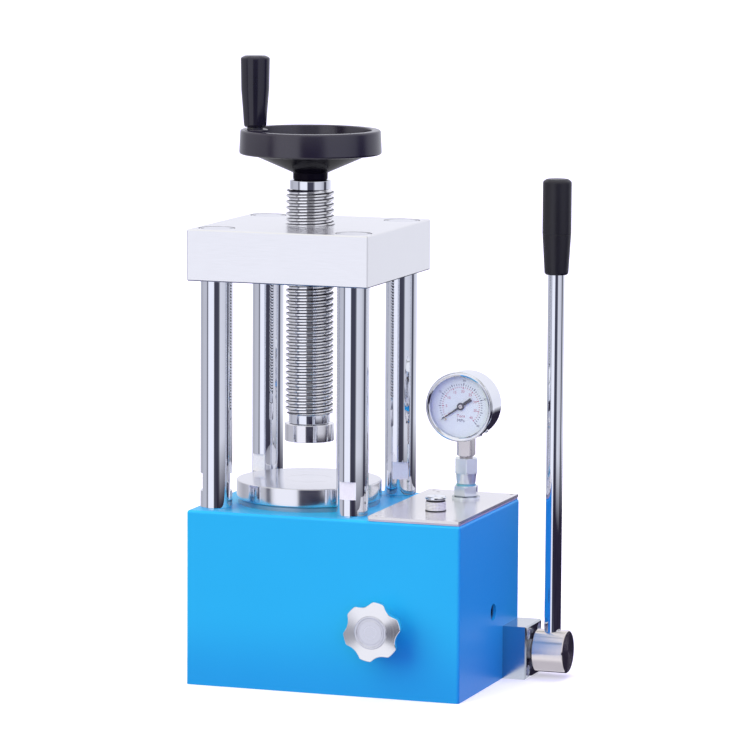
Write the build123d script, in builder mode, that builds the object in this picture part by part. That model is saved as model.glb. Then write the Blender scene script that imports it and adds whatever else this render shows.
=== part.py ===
from build123d import *
import math
import os

# Manual hydraulic laboratory press.
# Frame: origin on the ram axis at the bottom plane of the base, +X towards the
# pump lever, -Y towards the operator, +Z up. All sizes in millimetres.

os.makedirs("parts", exist_ok=True)

# ---------------------------------------------------------------- dimensions
# Fits
RUNNING = 0.05            # radial clearance of a shaft in its bore
FREE = 0.3                # clearance between bodies that only pass each other
SNUG = 0.05               # radial clearance of a screwed or pressed piece

# Base block
BASE_LEFT = -83.0
BASE_RIGHT = 168.0
HALF_DEPTH = 84.5
BASE_TOP = 154.2
BASE_EDGE = 2.5

# Ram and its cylinder
PISTON_R = 54.95
BORE_R = PISTON_R + RUNNING
BORE_FLOOR = 56.0
RAM_PLATE_R = 64.0
RAM_PLATE_TOP = 174.7
RAM_PLATE_THICK = 16.0
GLAND_R = 62.5
GLAND_TOP = 158.4

# Columns and top plate
COLUMN_X = 63.0
COLUMN_Y = 64.0
COLUMN_R = 14.0
LOWER_SPIGOT_R = 11.0
UPPER_SPIGOT_R = 10.0
SPIGOT_DEPTH = 42.0
FLAT_LOW = 170.3
FLAT_HIGH = 185.8
FLAT_DISTANCE = 11.8      # column axis to spanner flat
PLATE_BOTTOM = 355.1
PLATE_TOP = 400.0
COLUMN_NUT_R = 16.0
COLUMN_NUT_THICK = 9.6

# Pressure screw
THREAD_R = 21.25
THREAD_ROOT_R = 18.9
THREAD_PITCH = 5.2
THREAD_TURNS = 38
THREAD_LOW = 232.4
SCREW_PLAIN_R = 18.0
COLLAR_TOP = 439.1
HEAD_R = 21.8
HEAD_BOTTOM = 209.0
HEAD_TOP = 224.5
NUT_R = 28.0

# Handwheel and its grip
RIM_R = 62.5
RIM_LOW = 461.6
RIM_TOP = 483.0
GRIP_X = -45.8
GRIP_Y = -15.9
GRIP_LOW = 485.2
GRIP_TOP = 547.8

# Reservoir and cover
TANK_LEFT = 112.0
TANK_RIGHT = 158.0
TANK_FRONT = -72.0
TANK_BACK = 78.0
TANK_FLOOR = 10.0
COVER_LEFT = 83.7
COVER_RIGHT = 167.5
COVER_HALF = 84.0
GASKET_TOP = 155.7
COVER_TOP = 158.2
COVER_SCREWS = ((90.0, -78.5), (90.0, 78.5), (162.5, -78.5), (162.5, 78.5))
FILLER_X = 128.5
FILLER_Y = -32.0

# Pressure gauge
GAUGE_X = 131.5
GAUGE_Y = 43.0            # stem axis
GAUGE_Z = 242.0           # dial centre
BEZEL_R = 30.8
BEZEL_FRONT = 20.0
CASE_R = 29.5
CASE_BACK = 54.0
DIAL_FRONT = 27.0
POINTER_REST = 215.0      # degrees from +X, counter-clockwise from the front
PINION_R = 1.3
SECTOR_DROP = 13.0        # pinion axis to sector pivot

# Pump lever, shaft and plunger
LEVER_Y = 61.6
LEVER_Z = 23.4
LEVER_X = 207.0           # axis of the lever rod
SHAFT_R = 9.0
CAM_R = 13.0
CAM_THROW = 5.0
BLOCK_RIGHT = 189.7
BLOCK_FRONT = 39.0
BLOCK_TOP = 47.0
SOCKET_LEFT = 193.0
SOCKET_RIGHT = 221.5
SOCKET_R = 19.0
ROD_R = 7.3
ROD_TOP = 384.0
LEVER_GRIP_LOW = 358.0
LEVER_GRIP_TOP = 442.0
PUMP_X = 131.5
PUMP_RIGHT = 148.0
PUMP_FRONT = 4.0
PUMP_BACK = 30.0
PUMP_LOW = 14.0
PUMP_TOP = 76.0
PLUNGER_R = 5.0
PLUNGER_Z = 27.4
VALVE_Y = 11.0
OILWAY_Z = 61.0
BALL_R = 2.25

# Release valve
KNOB_X = 97.5
KNOB_Z = 62.5
KNOB_R = 26.2
KNOB_FRONT = 30.0         # how far the knob stands out from the base
LOBE_ANGLE = 17.0
SPINDLE_R = 5.0

# Plug in the side of the reservoir
SIDE_PLUG_Y = 11.3
SIDE_PLUG_Z = 64.0
SIDE_PLUG_R = 7.5

# ------------------------------------------------------------------- helpers
RIGHT_FACE = Plane(origin=(BASE_RIGHT, 0, 0), x_dir=(0, 1, 0), z_dir=(1, 0, 0))
BLOCK_FACE = Plane(origin=(BLOCK_RIGHT, 0, 0), x_dir=(0, 1, 0), z_dir=(1, 0, 0))
VALVE_AXIS = Plane(origin=(KNOB_X, -HALF_DEPTH, KNOB_Z), x_dir=(1, 0, 0), z_dir=(0, -1, 0))
COLUMN_PLACES = tuple((x, y) for y in (-COLUMN_Y, COLUMN_Y) for x in (-COLUMN_X, COLUMN_X))


def upright(x=0.0, y=0.0):
    """Profile plane whose local y runs up a vertical axis through (x, y)."""
    return Plane(origin=(x, y, 0), x_dir=(1, 0, 0), z_dir=(0, -1, 0))


def rearward(x, z):
    """Profile plane whose local y runs along +Y through (x, z)."""
    return Plane(origin=(x, 0, z), x_dir=(1, 0, 0), z_dir=(0, 0, 1))


def rightward(y, z):
    """Profile plane whose local y runs along +X through (y, z)."""
    return Plane(origin=(0, y, z), x_dir=(0, 0, 1), z_dir=(0, 1, 0))


def outward(plane):
    """Profile plane whose local y runs out of the given face plane."""
    return Plane(origin=plane.origin, x_dir=plane.x_dir, z_dir=-plane.y_dir)


def radial(turn, height):
    """Plane through the ram axis whose normal points outwards at the given turn."""
    angle = math.radians(turn)
    return Plane(origin=(0, 0, height), z_dir=(math.cos(angle), math.sin(angle), 0))


def gauge_plane(y):
    """Plane square to the gauge axis at the given y, facing the operator."""
    return Plane(origin=(GAUGE_X, y, GAUGE_Z), x_dir=(1, 0, 0), z_dir=(0, -1, 0))


def turned(plane, points):
    """Solid of revolution: points are (radius, place along the plane's local y)."""
    with BuildPart() as solid:
        with BuildSketch(plane):
            with BuildLine():
                Polyline(*points, close=True)
            make_face()
        revolve(axis=Axis(plane.origin, plane.y_dir))
    return solid


def ring(plane, inner, outer, low, high):
    """Plain turned ring between two radii and two heights."""
    return turned(plane, ((inner, low), (outer, low), (outer, high), (inner, high)))


# ---------------------------------------------------------------- base block
VALVE_CHAMBER_R = 5.5
VALVE_CHAMBER_DEPTH = 38.0
VALVE_SEAT_R = 2.5
VALVE_SEAT_LENGTH = 10.0
RETURN_TO_TANK_Y = -60.0  # drilling from the valve chamber to the reservoir
RETURN_TO_RAM_Y = -40.0   # drilling from the valve seat to the cylinder
RAM_OILWAY_END = 35.0
PUMP_OILWAY_END = 45.0
GLAND_THREAD_R = 10.0
GLAND_DEPTH = 13.0
OILWAY_R = 2.0
SEAL_R = 13.0
SEAL_DEPTH = 8.0
BLOCK_SCREW_R = 3.0
BLOCK_SCREW_YZ = ((46.0, 7.0), (77.5, 7.0), (46.0, 40.0), (77.5, 40.0))
BLOCK_SCREW_DEPTH = 9.0
COVER_SCREW_R = 2.5
COVER_SCREW_DEPTH = 12.0
TANK_CORNER_R = 6.0
SPIGOT_RELIEF = 2.0       # drilled below the end of a column

with BuildPart() as base_block:
    with BuildSketch():
        with Locations(((BASE_LEFT + BASE_RIGHT) / 2, 0)):
            Rectangle(BASE_RIGHT - BASE_LEFT, 2 * HALF_DEPTH)
    extrude(amount=BASE_TOP)
    fillet(base_block.edges().filter_by(Axis.Z), BASE_EDGE)
    fillet(base_block.faces().sort_by(Axis.Z)[-1].edges(), BASE_EDGE)
    with Locations((0, 0, BASE_TOP)):
        Hole(BORE_R, depth=BASE_TOP - BORE_FLOOR)
    with Locations(*[(x, y, BASE_TOP) for x, y in COLUMN_PLACES]):
        Hole(LOWER_SPIGOT_R + SNUG, depth=SPIGOT_DEPTH + SPIGOT_RELIEF)
    with BuildSketch(Plane.XY.offset(TANK_FLOOR)):
        with Locations(((TANK_LEFT + TANK_RIGHT) / 2, (TANK_FRONT + TANK_BACK) / 2)):
            RectangleRounded(TANK_RIGHT - TANK_LEFT, TANK_BACK - TANK_FRONT, TANK_CORNER_R)
    extrude(amount=BASE_TOP - TANK_FLOOR, mode=Mode.SUBTRACT)
    with Locations(*[(x, y, BASE_TOP) for x, y in COVER_SCREWS]):
        Hole(COVER_SCREW_R + SNUG, depth=COVER_SCREW_DEPTH)
    # release valve: gland thread, chamber, seat and the two drillings it joins
    with Locations(VALVE_AXIS):
        Hole(GLAND_THREAD_R + SNUG, depth=GLAND_DEPTH)
        Hole(VALVE_CHAMBER_R, depth=VALVE_CHAMBER_DEPTH)
        Hole(VALVE_SEAT_R, depth=VALVE_CHAMBER_DEPTH + VALVE_SEAT_LENGTH)
    with Locations(Plane(origin=(TANK_LEFT, RETURN_TO_TANK_Y, KNOB_Z), z_dir=(1, 0, 0))):
        Hole(OILWAY_R, depth=TANK_LEFT - KNOB_X)
    with Locations(Plane(origin=(KNOB_X, RETURN_TO_RAM_Y, KNOB_Z), z_dir=(1, 0, 0))):
        Hole(OILWAY_R, depth=KNOB_X - RAM_OILWAY_END)
    # drilling from the pump to the cylinder
    with Locations(Plane(origin=(TANK_LEFT, VALVE_Y, OILWAY_Z), z_dir=(1, 0, 0))):
        Hole(OILWAY_R, depth=TANK_LEFT - PUMP_OILWAY_END)
    # lever shaft passage with its seal seat, bearing block threads, side plug
    with Locations(RIGHT_FACE):
        with Locations((LEVER_Y, LEVER_Z)):
            Hole(SHAFT_R + FREE, depth=BASE_RIGHT - TANK_RIGHT)
            Hole(SEAL_R + SNUG, depth=SEAL_DEPTH)
        with Locations(*BLOCK_SCREW_YZ):
            Hole(BLOCK_SCREW_R + SNUG, depth=BLOCK_SCREW_DEPTH)
        with Locations((SIDE_PLUG_Y, SIDE_PLUG_Z)):
            Hole(SIDE_PLUG_R, depth=BASE_RIGHT - TANK_RIGHT)
base_block.part.label = "base_block"
export_step(base_block.part, "parts/base_block.step")

# ------------------------------------------------------------------- columns
FOOT_GROOVE = 0.6         # depth of the relief groove at a column's foot
FOOT_GROOVE_HIGH = BASE_TOP + 1.2
SPIGOT_SHORT = 1.5        # a column ends this far below the top of the plate

# name, x, y and the turn of the spanner flats in degrees
COLUMNS = (
    ("column_front_left", -COLUMN_X, -COLUMN_Y, 109.0),
    ("column_front_right", COLUMN_X, -COLUMN_Y, 0.0),
    ("column_back_left", -COLUMN_X, COLUMN_Y, -22.0),
    ("column_back_right", COLUMN_X, COLUMN_Y, 19.0),
)

for column_name, column_x, column_y, flat_turn in COLUMNS:
    with BuildPart() as column:
        with BuildSketch(upright(column_x, column_y)):
            with BuildLine():
                Polyline(
                    (0, BASE_TOP - SPIGOT_DEPTH),
                    (LOWER_SPIGOT_R, BASE_TOP - SPIGOT_DEPTH),
                    (LOWER_SPIGOT_R, BASE_TOP),
                    (COLUMN_R - FOOT_GROOVE, BASE_TOP),
                    (COLUMN_R - FOOT_GROOVE, FOOT_GROOVE_HIGH),
                    (COLUMN_R, FOOT_GROOVE_HIGH + FOOT_GROOVE),
                    (COLUMN_R, PLATE_BOTTOM),
                    (UPPER_SPIGOT_R, PLATE_BOTTOM),
                    (UPPER_SPIGOT_R, PLATE_TOP - SPIGOT_SHORT),
                    (0, PLATE_TOP - SPIGOT_SHORT),
                    close=True,
                )
            make_face()
        revolve(axis=Axis((column_x, column_y, 0), (0, 0, 1)))
        # two opposite spanner flats, turned to where tightening left them
        turn = math.radians(flat_turn)
        with BuildSketch(Plane.XY.offset(FLAT_LOW)):
            for side in (-1, 1):
                reach = side * (FLAT_DISTANCE + COLUMN_R / 2)
                flat_x = column_x - reach * math.sin(turn)
                flat_y = column_y + reach * math.cos(turn)
                with Locations(Location((flat_x, flat_y), flat_turn)):
                    Rectangle(2 * COLUMN_R, COLUMN_R)
        extrude(amount=FLAT_HIGH - FLAT_LOW, mode=Mode.SUBTRACT)
    column.part.label = column_name
    export_step(column.part, f"parts/{column_name}.step")

COLUMN_NUT_TOP = PLATE_TOP - 0.2
SPANNER_HOLE_R = 1.6
SPANNER_HOLE_REACH = 13.2
SPANNER_HOLE_DEPTH = 4.0
SPANNER_HOLE_TURN = 25.0

with BuildPart() as column_nuts:
    with BuildSketch(Plane.XY.offset(COLUMN_NUT_TOP - COLUMN_NUT_THICK)):
        with Locations(*COLUMN_PLACES):
            Circle(COLUMN_NUT_R - SNUG)
            Circle(UPPER_SPIGOT_R + SNUG, mode=Mode.SUBTRACT)
    extrude(amount=COLUMN_NUT_THICK)
    with BuildSketch(Plane.XY.offset(COLUMN_NUT_TOP)):
        for nut_x, nut_y in COLUMN_PLACES:
            with Locations((nut_x, nut_y)):
                with PolarLocations(SPANNER_HOLE_REACH, 2, start_angle=SPANNER_HOLE_TURN):
                    Circle(SPANNER_HOLE_R)
    extrude(amount=-SPANNER_HOLE_DEPTH, mode=Mode.SUBTRACT)
column_nuts.part.label = "column_nuts"
export_step(column_nuts.part, "parts/column_nuts.step")

# ------------------------------------------------- top plate and bronze nut
NUT_FLANGE_R = 38.0
NUT_FLANGE_THICK = 6.0
NUT_TOP = 394.0
PLATE_EDGE = 1.0

with BuildPart() as top_plate:
    with BuildSketch(Plane.XY.offset(PLATE_BOTTOM)):
        Rectangle(-2 * BASE_LEFT, 2 * HALF_DEPTH)
    extrude(amount=PLATE_TOP - PLATE_BOTTOM)
    chamfer(top_plate.edges(), PLATE_EDGE)
    with Locations((0, 0, PLATE_BOTTOM)):
        Hole(THREAD_R + FREE)
    with Locations(Plane(origin=(0, 0, PLATE_BOTTOM), z_dir=(0, 0, -1))):
        Hole(NUT_R + SNUG, depth=NUT_TOP - PLATE_BOTTOM)
        Hole(NUT_FLANGE_R + SNUG, depth=NUT_FLANGE_THICK)
    with Locations(*[(x, y, PLATE_TOP) for x, y in COLUMN_PLACES]):
        CounterBoreHole(UPPER_SPIGOT_R + SNUG, COLUMN_NUT_R, PLATE_TOP - COLUMN_NUT_TOP + COLUMN_NUT_THICK)
top_plate.part.label = "top_plate"
export_step(top_plate.part, "parts/top_plate.step")

screw_nut = turned(upright(), (
    (THREAD_R + RUNNING, PLATE_BOTTOM),
    (NUT_FLANGE_R, PLATE_BOTTOM),
    (NUT_FLANGE_R, PLATE_BOTTOM + NUT_FLANGE_THICK),
    (NUT_R, PLATE_BOTTOM + NUT_FLANGE_THICK),
    (NUT_R, NUT_TOP),
    (THREAD_R + RUNNING, NUT_TOP),
))
screw_nut.part.label = "screw_nut"
export_step(screw_nut.part, "parts/screw_nut.step")

# ------------------------------------------------------------ ram and gland
PISTON_LOW = 60.0
PISTON_STUD_R = 20.0
PISTON_CHAMFER = 5.0
SEAL_LOW = 80.0
SEAL_HIGH = 87.0
SEAL_INNER_R = 48.0
DOWEL_R = 15.0
DOWEL_DEPTH = 10.0
RAM_PLATE_LOW = RAM_PLATE_TOP - RAM_PLATE_THICK
SMALL_EDGE = 0.6          # broken edge on turned pieces
TOP_EDGE = 0.8            # broken edge round a working face

ram_piston = turned(upright(), (
    (0, BORE_FLOOR + 0.2),
    (PISTON_STUD_R, BORE_FLOOR + 0.2),
    (PISTON_STUD_R, PISTON_LOW),
    (PISTON_R - PISTON_CHAMFER, PISTON_LOW),
    (PISTON_R, PISTON_LOW + PISTON_CHAMFER),
    (PISTON_R, SEAL_LOW),
    (SEAL_INNER_R, SEAL_LOW),
    (SEAL_INNER_R, SEAL_HIGH),
    (PISTON_R, SEAL_HIGH),
    (PISTON_R, RAM_PLATE_LOW),
    (DOWEL_R + SNUG, RAM_PLATE_LOW),
    (DOWEL_R + SNUG, RAM_PLATE_LOW - DOWEL_DEPTH),
    (0, RAM_PLATE_LOW - DOWEL_DEPTH),
))
ram_piston.part.label = "ram_piston"
export_step(ram_piston.part, "parts/ram_piston.step")

piston_seal = ring(upright(), SEAL_INNER_R + SNUG, PISTON_R, SEAL_LOW + 0.1, SEAL_HIGH - 0.1)
piston_seal.part.label = "piston_seal"
export_step(piston_seal.part, "parts/piston_seal.step")

ram_plate = turned(upright(), (
    (0, RAM_PLATE_LOW - DOWEL_DEPTH + 1),
    (DOWEL_R, RAM_PLATE_LOW - DOWEL_DEPTH + 1),
    (DOWEL_R, RAM_PLATE_LOW),
    (RAM_PLATE_R - SMALL_EDGE, RAM_PLATE_LOW),
    (RAM_PLATE_R, RAM_PLATE_LOW + SMALL_EDGE),
    (RAM_PLATE_R, RAM_PLATE_TOP - TOP_EDGE),
    (RAM_PLATE_R - TOP_EDGE, RAM_PLATE_TOP),
    (0, RAM_PLATE_TOP),
))
ram_plate.part.label = "ram_plate"
export_step(ram_plate.part, "parts/ram_plate.step")

cylinder_gland = turned(upright(), (
    (BORE_R, BASE_TOP),
    (GLAND_R, BASE_TOP),
    (GLAND_R, GLAND_TOP - 1),
    (GLAND_R - 1, GLAND_TOP),
    (BORE_R, GLAND_TOP),
))
cylinder_gland.part.label = "cylinder_gland"
export_step(cylinder_gland.part, "parts/cylinder_gland.step")

# --------------------------------------------- pressure head and lead screw
SOCKET_FLOOR = 213.0
STUB_R = 10.0
STUB_LOW = 213.4
GROOVE_R = 8.4
GROOVE_LOW = 216.8
GROOVE_HIGH = 221.2
GROOVE_MID = (GROOVE_LOW + GROOVE_HIGH) / 2
RETAINER_R = 1.9
RETAINER_TURNS = (60, 150)
SPINDLE_TOP = 465.0
NUT_THREAD_R = 6.0
NUT_THREAD_LENGTH = 11.0
CREST_LAND = 1.7
ROOT_LAND = 1.3

with BuildPart() as pressure_head:
    with BuildSketch(upright()):
        with BuildLine():
            Polyline(
                (0, HEAD_BOTTOM),
                (HEAD_R - SMALL_EDGE, HEAD_BOTTOM),
                (HEAD_R, HEAD_BOTTOM + SMALL_EDGE),
                (HEAD_R, HEAD_TOP - TOP_EDGE),
                (HEAD_R - TOP_EDGE, HEAD_TOP),
                (STUB_R + RUNNING, HEAD_TOP),
                (STUB_R + RUNNING, SOCKET_FLOOR),
                (0, SOCKET_FLOOR),
                close=True,
            )
        make_face()
    revolve(axis=Axis.Z)
    for retainer_turn in RETAINER_TURNS:
        with BuildSketch(radial(retainer_turn, GROOVE_MID)):
            Circle(RETAINER_R + SNUG)
        extrude(amount=HEAD_R + 1, mode=Mode.SUBTRACT)
pressure_head.part.label = "pressure_head"
export_step(pressure_head.part, "parts/pressure_head.step")

# two dog-point screws that hold the turning stub in the head
with BuildPart() as head_retaining_screws:
    for retainer_turn in RETAINER_TURNS:
        with BuildSketch(radial(retainer_turn, GROOVE_MID).offset(GROOVE_R + FREE)):
            Circle(RETAINER_R)
        extrude(amount=HEAD_R - TOP_EDGE - GROOVE_R - FREE)
head_retaining_screws.part.label = "head_retaining_screws"
export_step(head_retaining_screws.part, "parts/head_retaining_screws.step")


def thread_outline():
    """Ridge-and-groove outline of the thread, from its lower end upwards."""
    flank = (THREAD_PITCH - CREST_LAND - ROOT_LAND) / 2
    points = []
    for turn_number in range(THREAD_TURNS):
        low = THREAD_LOW + turn_number * THREAD_PITCH + ROOT_LAND
        points.append((THREAD_ROOT_R, low))
        points.append((THREAD_R, low + flank))
        points.append((THREAD_R, low + flank + CREST_LAND))
        points.append((THREAD_ROOT_R, low + 2 * flank + CREST_LAND))
    return points


lead_screw = turned(upright(), (
    (0, STUB_LOW),
    (STUB_R - SMALL_EDGE, STUB_LOW),
    (STUB_R, STUB_LOW + SMALL_EDGE),
    (STUB_R, GROOVE_LOW),
    (GROOVE_R, GROOVE_LOW),
    (GROOVE_R, GROOVE_HIGH),
    (STUB_R, GROOVE_HIGH),
    (STUB_R, HEAD_TOP + FREE),
    (SCREW_PLAIN_R, HEAD_TOP + FREE),
    (SCREW_PLAIN_R, THREAD_LOW),
    *thread_outline(),
    (SCREW_PLAIN_R, THREAD_LOW + THREAD_TURNS * THREAD_PITCH + ROOT_LAND),
    (SCREW_PLAIN_R, COLLAR_TOP - SMALL_EDGE),
    (SCREW_PLAIN_R - SMALL_EDGE, COLLAR_TOP),
    (STUB_R, COLLAR_TOP),
    (STUB_R, SPINDLE_TOP),
    (NUT_THREAD_R, SPINDLE_TOP),
    (NUT_THREAD_R, SPINDLE_TOP + NUT_THREAD_LENGTH),
    (0, SPINDLE_TOP + NUT_THREAD_LENGTH),
))
lead_screw.part.label = "lead_screw"
export_step(lead_screw.part, "parts/lead_screw.step")

# ------------------------------------------------------ handwheel and grip
HUB_R = 15.25
HUB_TOP = 466.0
BOSS_R = 11.2
BOSS_LOW = RIM_LOW + 2
DISH_R = 53.0
DISH_TOP = 471.0
GRIP_PIN_R = 4.0
GRIP_PIN_COLLAR_R = 7.0
GRIP_PIN_TOP = 534.0
GRIP_THREAD_LOW = 469.0

with BuildPart() as handwheel:
    with BuildSketch(upright()):
        with BuildLine():
            Polyline(
                (STUB_R + SNUG, COLLAR_TOP),
                (HUB_R - 1.8, COLLAR_TOP),
                (HUB_R, COLLAR_TOP + 1.8),
                (HUB_R, 445.8),
                (DISH_R, 462.2),
                (57.0, RIM_LOW),
                (RIM_R - 1.4, RIM_LOW),
                (RIM_R, RIM_LOW + 1.6),
                (61.3, RIM_TOP - 1.0),
                (60.3, RIM_TOP),
                (54.3, RIM_TOP),
                (53.3, RIM_TOP - 1.0),
                (DISH_R - 0.4, DISH_TOP),
                (50.0, 468.4),
                (19.0, 456.0),
                (HUB_R, 458.0),
                (HUB_R, HUB_TOP),
                (STUB_R + SNUG, HUB_TOP),
                close=True,
            )
        make_face()
    revolve(axis=Axis.Z)
    with BuildSketch(Plane.XY.offset(BOSS_LOW)):
        with Locations((GRIP_X, GRIP_Y)):
            Circle(BOSS_R)
    extrude(amount=RIM_TOP - BOSS_LOW)
    with Locations((GRIP_X, GRIP_Y, RIM_TOP)):
        Hole(GRIP_PIN_R + SNUG, depth=RIM_TOP - GRIP_THREAD_LOW + 0.5)
handwheel.part.label = "handwheel"
export_step(handwheel.part, "parts/handwheel.step")

NUT_WASHER_R = 12.0
NUT_WASHER_THICK = 1.6
NUT_HALF_FLATS = 9.5
NUT_HEX_THICK = 7.2

with BuildPart() as handwheel_nut:
    with BuildSketch(Plane.XY.offset(HUB_TOP)):
        Circle(NUT_WASHER_R)
        Circle(NUT_THREAD_R + SNUG, mode=Mode.SUBTRACT)
    extrude(amount=NUT_WASHER_THICK)
    with BuildSketch(Plane.XY.offset(HUB_TOP + NUT_WASHER_THICK)):
        RegularPolygon(NUT_HALF_FLATS, 6, major_radius=False)
        Circle(NUT_THREAD_R + SNUG, mode=Mode.SUBTRACT)
    extrude(amount=NUT_HEX_THICK)
handwheel_nut.part.label = "handwheel_nut"
export_step(handwheel_nut.part, "parts/handwheel_nut.step")

grip_pin = turned(upright(GRIP_X, GRIP_Y), (
    (0, GRIP_THREAD_LOW),
    (GRIP_PIN_R, GRIP_THREAD_LOW),
    (GRIP_PIN_R, RIM_TOP),
    (GRIP_PIN_COLLAR_R, RIM_TOP),
    (GRIP_PIN_COLLAR_R, GRIP_LOW - FREE),
    (GRIP_PIN_R, GRIP_LOW - FREE),
    (GRIP_PIN_R, GRIP_PIN_TOP),
    (0, GRIP_PIN_TOP),
))
grip_pin.part.label = "grip_pin"
export_step(grip_pin.part, "parts/grip_pin.step")

with BuildPart() as handwheel_grip:
    with BuildSketch(upright(GRIP_X, GRIP_Y)):
        with BuildLine():
            bore = Polyline(
                (0, GRIP_TOP),
                (0, GRIP_PIN_TOP + FREE),
                (GRIP_PIN_R + RUNNING, GRIP_PIN_TOP + FREE),
                (GRIP_PIN_R + RUNNING, GRIP_LOW),
                (9.2, GRIP_LOW),
                (9.9, GRIP_LOW + 0.8),
            )
            side = Spline(bore @ 1, (10.9, 501), (12.3, 518), (12.8, 544.6))
            crown = RadiusArc(side @ 1, (11.2, 546.6), -1.9)
            Line(crown @ 1, bore @ 0)
        make_face()
    revolve(axis=Axis((GRIP_X, GRIP_Y, 0), (0, 0, 1)))
handwheel_grip.part.label = "handwheel_grip"
export_step(handwheel_grip.part, "parts/handwheel_grip.step")

# ----------------------------------------------------- reservoir cover set
FILLER_HOLE_R = 7.0
ADAPTER_R = 6.5
VENT_X = 97.0
VENT_Y = 69.0
VENT_R = 1.5
FILLER_R = 9.0
FILLER_TOP = 166.4
CAP_STEM_R = 5.0
CAP_LOW = 167.6
CAP_TOP = 171.0
CAP_VENT_R = 0.9
GASKET_INSET = 0.5
COVER_CORNER_R = 1.5
SINK_R = 4.6
SCREW_HEAD_R = 4.5
SCREW_HEAD_DEPTH = 2.1
SCREW_HEX_HALF_FLATS = 1.5
SCREW_HEX_DEPTH = 1.8


def cover_outline(inset):
    """Outline of the cover, drawn in by `inset` on every side."""
    with BuildSketch() as outline:
        with Locations(((COVER_LEFT + COVER_RIGHT) / 2, 0)):
            RectangleRounded(COVER_RIGHT - COVER_LEFT - 2 * inset, 2 * (COVER_HALF - inset), COVER_CORNER_R)
    return outline.sketch


with BuildPart() as cover_gasket:
    add(cover_outline(GASKET_INSET).moved(Location((0, 0, BASE_TOP))))
    extrude(amount=GASKET_TOP - BASE_TOP)
    with Locations((FILLER_X, FILLER_Y, GASKET_TOP), (GAUGE_X, GAUGE_Y, GASKET_TOP)):
        Hole(FILLER_HOLE_R + 1)
    with Locations(*[(x, y, GASKET_TOP) for x, y in COVER_SCREWS]):
        Hole(COVER_SCREW_R + SNUG)
cover_gasket.part.label = "cover_gasket"
export_step(cover_gasket.part, "parts/cover_gasket.step")

with BuildPart() as cover_plate:
    add(cover_outline(0).moved(Location((0, 0, GASKET_TOP))))
    extrude(amount=COVER_TOP - GASKET_TOP)
    with Locations((FILLER_X, FILLER_Y, COVER_TOP)):
        Hole(FILLER_HOLE_R)
    with Locations((GAUGE_X, GAUGE_Y, COVER_TOP)):
        Hole(ADAPTER_R + SNUG)
    with Locations((VENT_X, VENT_Y, COVER_TOP)):
        Hole(VENT_R)
    with Locations(*[(x, y, COVER_TOP) for x, y in COVER_SCREWS]):
        CounterSinkHole(COVER_SCREW_R + SNUG, SINK_R, counter_sink_angle=90)
cover_plate.part.label = "cover_plate"
export_step(cover_plate.part, "parts/cover_plate.step")

with BuildPart() as cover_screws:
    for screw_x, screw_y in COVER_SCREWS:
        with BuildSketch(upright(screw_x, screw_y)):
            with BuildLine():
                Polyline(
                    (0, BASE_TOP - 9),
                    (COVER_SCREW_R, BASE_TOP - 9),
                    (COVER_SCREW_R, COVER_TOP - SCREW_HEAD_DEPTH),
                    (SCREW_HEAD_R, COVER_TOP - 0.1),
                    (0, COVER_TOP - 0.1),
                    close=True,
                )
            make_face()
        revolve(axis=Axis((screw_x, screw_y, 0), (0, 0, 1)))
    with BuildSketch(Plane.XY.offset(COVER_TOP)):
        with Locations(*COVER_SCREWS):
            RegularPolygon(SCREW_HEX_HALF_FLATS, 6, major_radius=False)
    extrude(amount=-SCREW_HEX_DEPTH, mode=Mode.SUBTRACT)
cover_screws.part.label = "cover_screws"
export_step(cover_screws.part, "parts/cover_screws.step")

filler_neck = turned(upright(FILLER_X, FILLER_Y), (
    (CAP_STEM_R + RUNNING, BASE_TOP - 6),
    (FILLER_HOLE_R - SNUG, BASE_TOP - 6),
    (FILLER_HOLE_R - SNUG, COVER_TOP),
    (FILLER_R, COVER_TOP),
    (FILLER_R, FILLER_TOP - 0.5),
    (FILLER_R - 0.5, FILLER_TOP),
    (CAP_STEM_R + RUNNING, FILLER_TOP),
))
filler_neck.part.label = "filler_neck"
export_step(filler_neck.part, "parts/filler_neck.step")

with BuildPart() as filler_cap:
    with BuildSketch(upright(FILLER_X, FILLER_Y)):
        with BuildLine():
            Polyline(
                (0, BASE_TOP - 4),
                (CAP_STEM_R, BASE_TOP - 4),
                (CAP_STEM_R, CAP_LOW),
                (8.2, CAP_LOW),
                (FILLER_R, CAP_LOW + 0.8),
                (FILLER_R, CAP_TOP - 1),
                (8.0, CAP_TOP),
                (0, CAP_TOP),
                close=True,
            )
        make_face()
    revolve(axis=Axis((FILLER_X, FILLER_Y, 0), (0, 0, 1)))
    with Locations((FILLER_X, FILLER_Y, CAP_TOP)):
        Hole(CAP_VENT_R, depth=3)
filler_cap.part.label = "filler_cap"
export_step(filler_cap.part, "parts/filler_cap.step")

filler_cap_ring = ring(upright(FILLER_X, FILLER_Y), CAP_STEM_R + SNUG, 8.3, FILLER_TOP + 0.1, CAP_LOW)
filler_cap_ring.part.label = "filler_cap_ring"
export_step(filler_cap_ring.part, "parts/filler_cap_ring.step")

# ------------------------------------------------------- gauge and fittings
gauge_column = upright(GAUGE_X, GAUGE_Y)
gauge_face = rearward(GAUGE_X, GAUGE_Z)
WASHER_R = 12.4
WASHER_TOP = 160.4
ADAPTER_LOW = BASE_TOP - 12
ADAPTER_HALF_FLATS = 9.8
ADAPTER_TURN = 12.0
UNION_HALF_FLATS = 9.6
UNION_TURN = 19.0
ADAPTER_HEX_TOP = 170.0
O_RING_TOP = 171.2
UNION_HEX_LOW = 181.0
UNION_TOP = 194.4
TUBE_R = 3.0
TUBE_TOP = 146.0
NIPPLE_R = 5.0
STEM_LOW = 196.0
STEM_TOP = 218.4
STEM_WIDTH = 13.4

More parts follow.
